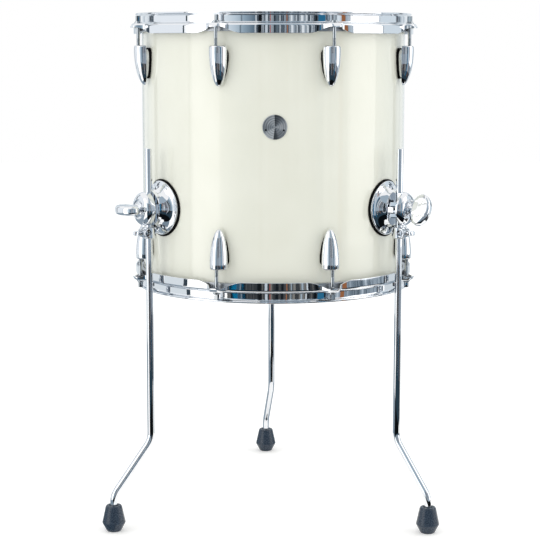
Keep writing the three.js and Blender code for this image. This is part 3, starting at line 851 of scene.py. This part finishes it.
def bentDome(bm, radius, fromReach, toReach):
    # lets the rim follow the drum while the clamp stays flat
    for vert in bm.verts:
        reach = math.hypot(vert.co.y, vert.co.z)
        share = 1 if vert.co.x < radius + 1.2 else smoothStep((reach - fromReach) / (toReach - fromReach))
        if abs(vert.co.y) < radius:
            vert.co.x -= sag(vert.co.y, radius) * share
    return bm


def makeBracketGasket():
    radius = shellRadius + 0.1
    reach = bracket["gasket"]
    thick = bracket["gasketThickness"]
    rings = [(reach * share, thick) for share in (0, 0.2, 0.4, 0.6, 0.8)]
    back = [(reach * share, 0) for share in (0.8, 0.6, 0.4, 0.2, 0)]
    line = [Vector(point) for point in rings]
    line += softened([(reach * 0.8, thick, 0), (reach, thick, 0.8), (reach, 0, 0.5),
                      (reach * 0.8, 0, 0)])[1:-1]
    line += [Vector(point) for point in back]
    bm = moved(outward(spun(line, bracket["steps"])), x=radius)
    for vert in bm.verts:
        vert.co.x -= sag(vert.co.y, radius)
    return bm


def makeBracketBase():
    seat = bracketSeat
    rim = bracket["rim"]
    dome = bracket["dome"]
    thick = bracket["rimThickness"]
    neck = bracket["neck"]
    line = [Vector((rim * share, 0)) for share in (0, 0.25, 0.5, 0.75)]
    line += softened([(rim * 0.75, 0, 0), (rim, 0, 0.4), (rim, thick, 0.9), (rim - 2.2, thick + 0.1, 0.6),
                      (rim - 2.8, thick + 0.8, 0.4)])[1:-1]
    line += smoothed([(rim - 2.8, thick + 0.8), (rim - 6.0, thick + 2.2), (rim - 9.0, thick + 4.2),
                      (rim - 11.6, thick + 7.0), (rim - 13.2, thick + 10.0),
                      (neck + 0.9, thick + 12.0)], 3)[1:]
    line += softened([(neck + 0.9, thick + 12.0, 0), (neck + 0.2, dome - 1.2, 0), (neck, dome, 0.9),
                      (neck - 6, dome, 0)])[1:]
    line.append(Vector((0, dome)))
    bm = moved(outward(spun(line, bracket["steps"])), x=seat)
    bentDome(bm, seat, neck + 1, rim - 5)
    groove = moved(rod(bracket["groove"], -60, 60, 32), x=legAxis)
    floor = seat + dome - clampTeeth["baseRecess"]
    tools = [groove, toothedSide(floor, floor + 20)]
    half = clampTeeth["baseHeight"] / 2
    baseTooth = tooth(floor - 2, floor + clampTeeth["baseLength"], -half, half)
    screws = []
    for degrees in bracketScrews:
        y = bracket["screwReach"] * math.cos(math.radians(degrees))
        z = bracket["screwReach"] * math.sin(math.radians(degrees))
        pocket = seat - sag(y, seat) + bracket["screwFloor"]
        tools.append(moved(outward(rod(bracket["screwPocket"], pocket, pocket + 30, 32)), y=y, z=z))
        screws.append(moved(makeScrew(), x=pocket + 0.05, y=y, z=z))
    return joined(cut(bm, *tools), baseTooth), joined(*screws)


def toothedSide(start, end):
    # the half beyond the leg that is cut back for the teeth
    return brick((start, -40, -40), (end, -clampTeeth["inset"], 40))


def tooth(start, end, low, high):
    side = bracket["clamp"] - clampTeeth["edge"]
    return brick((start, -side, low), (end, clampTeeth["depth"] - side, high), 0.5)


def makeScrew():
    # pan head with a cross recess, facing +X
    line = softened([(0, 2.3, 0), (2.2, 2.2, 0.8), (3.9, 1.1, 0.8), (3.9, 0, 0), (0, 0, 0)])
    dome = outward(spun(line, 32))
    upright = brick((0.9, -0.45, -2.2), (3, 0.45, 2.2))
    level = brick((0.9, -2.2, -0.45), (3, 2.2, 0.45))
    return cut(dome, upright, level)


def makeCap():
    seat = bracketSeat + bracket["dome"] + cap["gap"]
    radius = bracket["clamp"]
    line = [Vector((0, 0))] + softened([(0, 0, 0), (radius, 0, 1.0), (radius, 6, 0)])[1:-1]
    line += smoothed([(share * radius, height * cap["thickness"]) for share, height in capShares[1:]], 4)
    line += softened([(capShares[-1][0] * radius, capShares[-1][1] * cap["thickness"], 0),
                      (cap["dish"] + 0.8, cap["thickness"], 0.6), (cap["dish"], cap["thickness"] - 0.8, 0.4),
                      (cap["dish"] - 0.3, cap["thickness"] - cap["dishDepth"], 0.5),
                      (0, cap["thickness"] - cap["dishDepth"], 0)])[1:]
    bm = moved(outward(spun(line, bracket["steps"])), x=seat)
    groove = moved(rod(bracket["groove"], -60, 60, 32), x=legAxis)
    floor = seat + clampTeeth["capRecess"]
    bm = cut(bm, groove, toothedSide(seat - 10, floor))
    low = clampTeeth["baseHeight"] / 2 + clampTeeth["clearance"]
    high = low + clampTeeth["capHeight"]
    start = floor - clampTeeth["capLength"]
    teeth = [tooth(start, floor + 2, low, high), tooth(start, floor + 2, -high, -low)]
    for part in teeth:
        bmesh.ops.rotate(part, verts=part.verts, cent=(floor, -radius, 0),
                         matrix=Matrix.Rotation(math.radians(clampTeeth["capTilt"]), 3, "Z"))
    inset = clampTeeth["inset"]
    bridge = brick((seat - cap["gap"] + 0.3, inset, -7), (seat + 1, 2 * inset, 7), 0.4)
    return joined(bm, bridge, *teeth)


# Wing bolts
wing = {"span": 48.5, "reach": 32.4, "thickness": 13.5, "setback": 1.2, "base": 11.4, "baseHeight": 2.6,
        "hub": 6.6, "hubLength": 12.0, "bolt": 3.2, "crease": 9.5, "creaseDepth": 0.09, "edge": 4.6,
        "steps": 96}
wingTurns = {"left": 90, "right": -27, "rear": 0}  # degrees from upright, the front two as in the photograph


def makeWing():
    seat = bracketSeat + bracket["dome"] + cap["gap"] + cap["thickness"] + bracket["seatGap"]
    floor = seat - cap["dishDepth"]
    shoulder = floor + wing["baseHeight"]
    tip = legAxis + bracket["groove"]
    top = seat + wing["hubLength"]
    shaft = spun(softened([
        (0, tip, 0),
        (wing["bolt"], tip, 0.5),
        (wing["bolt"], floor, 0),
        (wing["base"], floor, 0.4),
        (wing["base"], shoulder, 1.2),
        (wing["hub"] + 1.6, shoulder + 1.4, 2.0),
        (wing["hub"], seat + wing["hubLength"] * 0.6, 2.5),
        (wing["hub"] * 0.5, top, 1.5),
        (0, top, 0),
    ]), 64)
    paddle = makePaddle(seat + wing["setback"])
    return joined(outward(shaft), paddle)


def makePaddle(start):
    # oval coin with rounded edges and a shallow crease across each end
    half = wing["thickness"] / 2
    edge = wing["edge"]
    rings = [(share, half) for share in (0.2, 0.4, 0.55, 0.66)]
    for degrees in range(0, 91, 15):
        angle = math.radians(degrees)
        inset = edge * (1 - math.sin(angle)) / (wing["reach"] / 2)
        rings.append((1 - inset, half - edge * (1 - math.cos(angle)) * 0.96))
    line = [(0, half), *rings, *[(share, -height) for share, height in reversed(rings)], (0, -half)]
    bm = spun(line, wing["steps"])
    for vert in bm.verts:
        x, y, z = vert.co
        height = y * wing["span"] / 2
        dent = math.exp(-((abs(height) - wing["crease"]) / 1.2) ** 2) * wing["creaseDepth"]
        bulge = 1 + 0.07 * (1 - min(1, math.hypot(x, y)))
        vert.co = (x * wing["reach"] / 2, z * bulge * (1 - dent), height)
    return moved(outwardFaces(bm), x=start + wing["reach"] / 2)


def outwardFaces(bm):
    bmesh.ops.recalc_face_normals(bm, faces=bm.faces)
    return bm


# Memory locks
lock = {"radius": 10.5, "height": 17.0, "boss": 7.5, "bossLength": 19.0, "bossOffset": 7.0,
        "face": 5.2, "faceDepth": 1.6, "split": 1.6, "screw": 4.2, "screwReach": 19.0, "key": 3.0,
        "keyReach": 26.0, "bore": 5.6}


def makeLock():
    half = lock["height"] / 2
    collar = spun(softened([(0, -half, 0), (lock["radius"], -half, 1.2), (lock["radius"], half, 1.2),
                            (0, half, 0)]), 64)
    length = lock["bossLength"] / 2
    boss = spun(softened([(0, -length, 0), (lock["boss"], -length, 1.0), (lock["boss"], length, 1.0),
                          (0, length, 0)]), 64)
    boss = moved(turned(boss, math.pi / 2, "X"), x=lock["bossOffset"])
    body = union(collar, boss)
    tools = [rod(lock["bore"], -half - 2, half + 2, 48)]
    for side in (1, -1):
        ring = spun(softened([(lock["face"] * 0.5, 0, 0), (lock["face"], 0, 0), (lock["face"], 6, 0),
                              (lock["face"] * 0.5, 6, 0)], closed=True), 48, closed=True)
        ring = moved(ring, z=length - lock["faceDepth"])
        tools.append(moved(turned(ring, -side * math.pi / 2, "X"), x=lock["bossOffset"]))
    slot = lock["split"] / 2
    tools.append(brick((-lock["radius"] - 2, -slot, -half - 2), (-lock["bore"] + 1, slot, half + 2)))
    tools.append(brick((lock["bossOffset"] + 1.2, -slot, -half - 2), (lock["screwReach"], slot, half + 2)))
    body = cut(body, *tools)
    root = lock["radius"] - 1
    reach = lock["screwReach"]
    screw = outward(spun(softened([(0, root, 0), (lock["screw"], root, 0), (lock["screw"], reach - 1.5, 0.6),
                                   (lock["screw"] - 1.2, reach, 0.4), (0, reach, 0)]), 32))
    key = lock["key"]
    square = brick((reach - 1, -key, -key), (lock["keyReach"], key, key), 0.6)
    return joined(body, screw, square)


# Legs and feet
leg = {"radius": 5.25, "rise": 89.5, "bend": 41.0, "bendRadius": 28.0, "ankle": 4.6, "bendSteps": 14,
       "sides": 40, "chamfer": 0.8}
foot = {"height": 39.5, "sole": 10.9, "belly": 17.3, "neck": 11.4, "floor": 9.0, "bore": 5.6, "steps": 72}


def makeLeg(offset):
    bend = math.radians(leg["bend"])
    tangent = leg["bendRadius"] * math.tan(bend / 2)
    ankle = foot["height"] + leg["ankle"]
    upper = ankle + 2 * tangent + offset / math.tan(bend)
    top = bracketHeight + leg["rise"]
    bm = bmesh.new()
    bmesh.ops.create_circle(bm, cap_ends=True, segments=leg["sides"], radius=leg["radius"] - leg["chamfer"])
    bmesh.ops.translate(bm, verts=bm.verts, vec=(0, 0, top))

    def stretch(edges, vector, grow=1.0):
        made = bmesh.ops.extrude_edge_only(bm, edges=edges)
        verts = [item for item in made["geom"] if isinstance(item, bmesh.types.BMVert)]
        bmesh.ops.translate(bm, verts=verts, vec=vector)
        if grow != 1:
            centre = sum((vert.co for vert in verts), Vector()) / len(verts)
            bmesh.ops.scale(bm, verts=verts, vec=(grow, grow, 1), space=Matrix.Translation(-centre))
        return [item for item in made["geom"] if isinstance(item, bmesh.types.BMEdge) and item.is_boundary]

    def curl(edges, centre, angle):
        verts = list({vert for edge in edges for vert in edge.verts})
        made = bmesh.ops.spin(bm, geom=verts + edges, cent=centre, axis=(0, 1, 0), dvec=(0, 0, 0),
                              angle=angle, steps=leg["bendSteps"], use_merge=False, use_duplicate=False)
        return [item for item in made["geom_last"] if isinstance(item, bmesh.types.BMEdge)]

    edges = [edge for edge in bm.edges if edge.is_boundary]
    grow = leg["radius"] / (leg["radius"] - leg["chamfer"])
    edges = stretch(edges, (0, 0, -leg["chamfer"]), grow)
    edges = stretch(edges, (0, 0, upper - top + leg["chamfer"]))
    edges = curl(edges, (leg["bendRadius"], 0, upper), -bend)
    slope = (upper - ankle - 2 * leg["bendRadius"] * math.sin(bend)) / math.cos(bend)
    edges = stretch(edges, (slope * math.sin(bend), 0, -slope * math.cos(bend)))
    edges = curl(edges, (offset - leg["bendRadius"], 0, ankle), bend)
    edges = stretch(edges, (0, 0, foot["floor"] + 0.4 - ankle))
    bmesh.ops.contextual_create(bm, geom=edges)
    bmesh.ops.recalc_face_normals(bm, faces=bm.faces)
    return bm


def makeFoot():
    high = foot["height"]
    belly = foot["belly"]
    line = softened([
        (0, 2.0, 0),
        (4.0, 2.0, 0.5),
        (4.6, 0, 0.4),
        (foot["sole"] - 1.8, 0, 0.8),
        (foot["sole"], 0.9, 1.2),
        (belly - 0.5, 12.4, 0.8),
        (belly, 13.8, 1.0),
        (foot["neck"] + 0.9, high - 2.4, 0.8),
        (foot["neck"] - 0.4, high, 0.9),
        (foot["bore"] + 1.8, high, 0.7),
        (foot["bore"], high - 2.4, 0.6),
        (foot["bore"], foot["floor"], 0),
        (0, foot["floor"], 0),
    ])
    return spun(line, foot["steps"])


def makeLegSets():
    gasket = makeBracketGasket()
    base, screws = makeBracketBase()
    capShape = makeCap()
    wingShape = makeWing()
    lockShape = makeLock()
    footShape = makeFoot()
    for name in legNames:
        station = stationOf(f"wing_bolt_{name}")
        place = atStation(station, bracketHeight)
        addPiece(f"bracket_gasket_{name}_moulded", gasket, place, "root", [gasketRubber],
                 [f"bracket_gasket_{name}"], keep=True)
        addPiece(f"bracket_base_{name}_bell", base, place, "root", [chromeCasting],
                 [f"bracket_base_{name}"], keep=True)
        addPiece(f"bracket_screws_{name}", screws, place, "root", [chromeSteel], keep=True)
        addPiece(f"bracket_cap_{name}_dome", capShape, place, "root", [chromeCasting],
                 [f"bracket_cap_{name}"], keep=True)
        twist = Matrix.Rotation(math.radians(wingTurns[name]), 4, "X")
        addPiece(f"wing_bolt_{name}_paddle", wingShape, place @ twist, f"{name}_wing_bolt", [chromeCasting],
                 [f"wing_bolt_{name}"], keep=True)
        lockLow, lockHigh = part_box(f"memory_lock_{name}")
        lockHeight = (lockLow.z + lockHigh.z) / 2 / mm
        lockPlace = atStation(station, lockHeight) @ Matrix.Translation((legAxis, 0, 0))
        addPiece(f"memory_lock_{name}_collar", lockShape, lockPlace, f"{name}_lock", [chromeCasting],
                 [f"memory_lock_{name}"], keep=True)
        axisX, axisY, _ = joints[f"leg_turn_{name}"]["pos_m"]
        footLow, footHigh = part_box(f"foot_{name}")
        footX, footY = (footLow.x + footHigh.x) / 2 - axisX, (footLow.y + footHigh.y) / 2 - axisY
        offset = math.hypot(footX, footY) / mm
        stand = Matrix.Translation((axisX, axisY, 0)) @ Matrix.Rotation(math.atan2(footY, footX), 4, "Z")
        stand = stand @ Matrix.Scale(mm, 4)
        addPiece(f"leg_{name}_rod", makeLeg(offset), stand, f"{name}_leg", [chromeSteel], [f"leg_{name}"])
        addPiece(f"foot_{name}_rubber", footShape, stand @ Matrix.Translation((offset, 0, 0)), f"{name}_leg",
                 [footRubber], [f"foot_{name}"], keep=True)
    for shape in (gasket, base, screws, capShape, wingShape, lockShape, footShape):
        shape.free()


# Screws inside the shell
innerScrew = {"washer": 6.0, "head": 4.0, "lugSpacing": 13.0, "lugShare": 0.42}


def makeInnerScrews():
    inner = shellRadius - shell["wall"]
    line = softened([(0, 0.4, 0), (innerScrew["washer"], 0.4, 0), (innerScrew["washer"], -1.0, 0.3),
                     (innerScrew["head"], -1.0, 0), (innerScrew["head"], -3.2, 0.8), (0, -3.4, 0)])
    bolt = moved(outward(spun(line, 16)), x=inner)
    parts = []
    for end in ("top", "bottom"):
        sign = 1 if end == "top" else -1
        middle = edgeHeights[end] - sign * (lug["drop"] + lug["length"] * innerScrew["lugShare"])
        for station in stations[end]:
            for side in (-1, 1):
                height = middle + side * innerScrew["lugSpacing"]
                parts.append(moved(turned(bolt.copy(), station, "Z"), z=height))
    for name in legNames:
        for degrees in bracketScrews:
            swing = bracket["screwReach"] * math.cos(math.radians(degrees)) / shellRadius
            height = bracketHeight + bracket["screwReach"] * math.sin(math.radians(degrees))
            parts.append(moved(turned(bolt.copy(), stationOf(f"wing_bolt_{name}") + swing, "Z"), z=height))
    bolt.free()
    addPiece("shell_inner_screws", joined(*parts), atStation(0, 0), "root", [chromeSteel])


makeShell()
makeHead("top", "batter_head", coatedFilm)
makeHead("bottom", "resonant_head", bareFilm)
print("shell and heads made")
makeHoops()
print("hoops made")
makeLugs()
makeRods()
print("lugs and tension rods made")
makeBadge()
makeVent()
makeLegSets()
makeInnerScrews()
print("badge, vent, brackets and legs made")


# Studio
studio = {"floorSize": 14.0, "floorColour": "#F1F1F0", "floorGlow": 0.3, "ambient": 1.0, "reach": 3.4}
lamps = [  # azimuth from the front towards the right, distance, height, width, tall, power
    ("softboxLeft", -60, 2.7, 1.5, 1.35, 3.4, 15),
    ("softboxRight", 80, 2.7, 1.5, 1.5, 3.4, 14.5),
]
cards = [  # name, from, to, low, high, shade
    ("greyWallLeft", -44, -15, 0.0, 2.6, "fading"),
    ("stripedWallMiddle", -15, 40, 0.52, 2.6, "striped"),
    ("greyWallMiddle", -15, 40, 0.0, 0.52, "middle"),
    ("greyWallRight", 40, 64, 0.0, 2.6, "pale"),
    ("paleSideLeft", -118, -76, 0.0, 2.6, "#F0F5FA"),
    ("paleSideRight", 97, 124, 0.0, 2.6, "#D9E4EC"),
    ("paleBackLeft", -180, -124, 0.0, 2.6, "faint"),
    ("paleBackRight", 130, 180, 0.0, 2.6, "faint"),
    ("darkEdgeLeft", -124, -118, 0.0, 2.6, "#4A555F"),
    ("darkEdgeRight", 124, 130, 0.0, 2.6, "#4A555F"),
]
floorCards = [  # name, from, to, near, far, shade
    ("blackClothInFront", -40, 72, 0.38, 0.85, "#0C0F12"),
    ("slateClothInFront", -40, 72, 0.85, 1.75, "#2B3D49"),
    ("darkFloorRight", 72, 100, 0.8, 1.75, "dark"),
    ("darkFloorAhead", -38, 40, 1.75, 2.9, "dark"),
    ("greyFloorAhead", -38, 40, 2.9, 3.4, "middle"),
    ("blueMatAhead", -34, -23, 2.1, 2.75, "#0A76A2"),
    ("greyFloorRight", 40, 104, 1.75, 3.4, "middle"),
    ("greyFloorLeft", -76, -40, 0.3, 0.75, "#7C8C99"),
    ("greyFloorBackLeft", -180, -76, 0.3, 1.6, "#93A1AD"),
    ("greyFloorBackRight", 106, 180, 0.3, 1.6, "#93A1AD"),
    ("paleFloorLeft", -180, -76, 1.6, 3.4, "#E1E8EC"),
    ("paleFloorRight", 106, 180, 1.6, 3.4, "#D5DDE2"),
]
streaks = [  # azimuth of the middle, half width, colour, of strips that hang in the room
    (-74, 2.0, "#3A464F"), (-26, 0.6, "#73838F"), (-11, 1.3, "#15191D"), (-6, 1.0, "#C6D0D8"),
    (-3, 0.3, "#A8574B"), (10, 0.35, "#A9704F"), (26, 0.6, "#D3DBE1"), (38.5, 3.0, "#2C6C90"),
    (57.5, 1.8, "#9A6544"), (66, 0.6, "#6C7C88"), (96, 0.8, "#6F7F8C"),
]
ceiling = {"height": 2.6, "near": 0.5, "far": 3.35, "colour": "#A3B3C0"}
shades = {  # a shade's colours across its streaks
    "striped": [(0.38, "#14191D"), (0.44, "#67747F"), (0.48, "#20272D"), (0.52, "#7D8B98"),
                (0.55, "#D4DCE2"), (0.58, "#2A323A"), (0.62, "#98A5B0"), (0.67, "#E3E9ED")],
    "dark": [(0.36, "#0D1114"), (0.46, "#1B2127"), (0.52, "#4F5153"), (0.55, "#1E252B"), (0.6, "#8B8984"),
             (0.66, "#2C3640"), (0.7, "#A8B6C0")],
    "middle": [(0.36, "#5A6873"), (0.44, "#93A1AE"), (0.49, "#75838F"), (0.54, "#A8B5C0"), (0.6, "#8A97A3"),
               (0.68, "#BECAD4")],
    "fading": [(0.25, "#566B7C"), (0.4, "#94A8B7"), (0.52, "#C3D2DD"), (0.68, "#E6EFF5")],
    "faint": [(0.36, "#A3B0BB"), (0.46, "#CCD6DE"), (0.54, "#E6EDF2"), (0.62, "#F3F7FA")],
    "pale": [(0.34, "#6F7C87"), (0.46, "#A3B0BB"), (0.54, "#BECAD4"), (0.61, "#CFDAE3"), (0.68, "#E2EBF1")],
}


def direction(degrees):
    angle = math.radians(degrees)
    return Vector((math.sin(angle), -math.cos(angle), 0))


def fromDrum(tree):
    # direction from the drum's axis, level
    where = addNode(tree, "ShaderNodeTexCoord").outputs["Object"]
    centred = addNode(tree, "ShaderNodeVectorMath", {0: where, 1: (drumX, drumY, 0)}, operation="SUBTRACT")
    flat = addNode(tree, "ShaderNodeVectorMath", {0: centred.outputs[0], 1: (1, 1, 0)}, operation="MULTIPLY")
    return addNode(tree, "ShaderNodeVectorMath", {0: flat.outputs[0]}, operation="NORMALIZE").outputs[0]


def shadeInBands(tree, glow, shade):
    # shade that changes with the azimuth only, which chrome shows as streaks
    around = fromDrum(tree)
    if shade == "fading":
        across = addNode(tree, "ShaderNodeSeparateXYZ", {"Vector": around}).outputs["X"]
        left = addNode(tree, "ShaderNodeMath", {0: across, 1: -1.0}, operation="MULTIPLY").outputs[0]
        tone = addRamp(tree, left, shades[shade])
    else:
        tone = addRamp(tree, noise(tree, 90, 3.0, around).outputs["Fac"], shades[shade])
    tree.links.new(tone, glow.inputs["Color"])


def addCard(name, start, end, line, material):
    # curved card round the drum, from a [radius, height] line, that only reflections see
    bm = bmesh.new()
    points = [bm.verts.new((*(direction(start) * reach).xy, z)) for reach, z in line]
    edges = [bm.edges.new(pair) for pair in zip(points, points[1:])]
    steps = max(2, round(abs(end - start) / 3))
    bmesh.ops.spin(bm, geom=points + edges, cent=(0, 0, 0), axis=(0, 0, 1), dvec=(0, 0, 0),
                   angle=math.radians(end - start), steps=steps, use_merge=False, use_duplicate=False)
    return addStageMesh(name, bm, material)


def addStageMesh(name, bm, material):
    bmesh.ops.translate(bm, verts=bm.verts, vec=(drumX, drumY, 0))
    mesh = meshOf(name, bm)
    mesh.materials.append(material)
    made = objectOf(name, mesh)
    return made


def onlyReflected(made):
    made.visible_camera = False
    made.visible_diffuse = False
    made.visible_shadow = False
    made.visible_transmission = False
    made.visible_volume_scatter = False


def glowMaterial(name, colour, strength=1.0):
    material = bpy.data.materials.new(name)
    material.use_nodes = True
    tree = material.node_tree
    tree.nodes.remove(tree.nodes["Principled BSDF"])
    glow = addNode(tree, "ShaderNodeEmission", {"Color": linear(colour), "Strength": strength})
    tree.links.new(glow.outputs["Emission"], tree.nodes["Material Output"].inputs["Surface"])
    return material, tree, glow


def seenOrReflected(tree):
    # 1 for rays that the camera, a mirror or clear film sends, and 0 for the light on a surface
    path = addNode(tree, "ShaderNodeLightPath").outputs
    seen = addNode(tree, "ShaderNodeMath", {0: path["Is Camera Ray"], 1: path["Is Glossy Ray"]},
                   operation="MAXIMUM")
    both = addNode(tree, "ShaderNodeMath", {0: seen.outputs[0], 1: path["Is Transmission Ray"]},
                   operation="MAXIMUM")
    return both.outputs[0]


def makeFloor():
    bm = bmesh.new()
    bmesh.ops.create_grid(bm, x_segments=1, y_segments=1, size=studio["floorSize"] / 2)
    material, tree, glow = glowMaterial("paintedStudioFloor", studio["floorColour"], studio["floorGlow"])
    paint = addNode(tree, "ShaderNodeBsdfDiffuse", {"Color": linear(studio["floorColour"])})
    lift = addNode(tree, "ShaderNodeMath", {0: seenOrReflected(tree), 1: studio["floorGlow"]},
                   operation="MULTIPLY")
    tree.links.new(lift.outputs[0], glow.inputs["Strength"])
    total = addNode(tree, "ShaderNodeAddShader", {0: paint.outputs["BSDF"], 1: glow.outputs["Emission"]})
    tree.links.new(total.outputs["Shader"], tree.nodes["Material Output"].inputs["Surface"])
    addStageMesh("floor", bm, material)


def addGlowCard(name, start, end, line, shade):
    plain = shade.startswith("#")
    material, tree, glow = glowMaterial(f"{name}Card", shade if plain else "#FFFFFF")
    if not plain:
        shadeInBands(tree, glow, shade)
    onlyReflected(addCard(name, start, end, line, material))


def makeStudio():
    makeFloor()
    for name, start, end, low, high, shade in cards:
        addGlowCard(name, start, end, [(studio["reach"], low), (studio["reach"], high)], shade)
    for name, start, end, near, far, shade in floorCards:
        addGlowCard(name, start, end, [(near, 0.004), (far, 0.004)], shade)
    for i, (middle, half, colour) in enumerate(streaks):
        near = studio["reach"] - 0.05
        line = [(1.2, 0.008), (near, 0.008), (near, 2.4)]
        addGlowCard(f"streak_{i + 1}", middle - half, middle + half, line, colour)
    overhead = [(ceiling["near"], ceiling["height"]), (ceiling["far"], ceiling["height"])]
    addGlowCard("ceilingAhead", -15, 40, overhead, ceiling["colour"])
    for name, azimuth, distance, height, width, tall, power in lamps:
        lamp = bpy.data.lights.new(name, "AREA")
        lamp.shape = "RECTANGLE"
        lamp.size = width
        lamp.size_y = tall
        lamp.energy = power
        made = objectOf(name, lamp)
        made.location = Vector((drumX, drumY, height)) + direction(azimuth) * distance
        made.rotation_euler = (-direction(azimuth)).to_track_quat("-Z", "Y").to_euler()
        made.visible_camera = False


def makeWorld():
    world = bpy.data.worlds.new("studioWorld")
    bpy.context.scene.world = world
    world.use_nodes = True
    tree = world.node_tree
    strength = span(tree, seenOrReflected(tree), studio["ambient"], 1.0)
    tree.links.new(strength, tree.nodes["Background"].inputs["Strength"])
    tree.nodes["Background"].inputs["Color"].default_value = (1, 1, 1, 1)


cameraPlace = {"place": (-0.0219, -2.4402, 0.724), "pitch": 7.782, "yaw": 0.53, "roll": -0.083,
               "lens": 102.07, "shift": -0.03}


def makeCamera():
    data = bpy.data.cameras.new("photographCamera")
    data.lens = cameraPlace["lens"]
    data.sensor_width = 36
    data.shift_y = cameraPlace["shift"]
    data.clip_start = 0.05
    made = objectOf("photographCamera", data)
    pitch, yaw, roll = (math.radians(cameraPlace[key]) for key in ("pitch", "yaw", "roll"))
    aim = Matrix.Rotation(-yaw, 4, "Z") @ Matrix.Rotation(math.pi / 2 - pitch, 4, "X")
    made.matrix_world = Matrix.Translation(cameraPlace["place"]) @ aim @ Matrix.Rotation(-roll, 4, "Z")
    bpy.context.scene.camera = made


makeStudio()
makeWorld()
makeCamera()
bpy.context.scene.view_settings.view_transform = "Standard"
print("studio made")
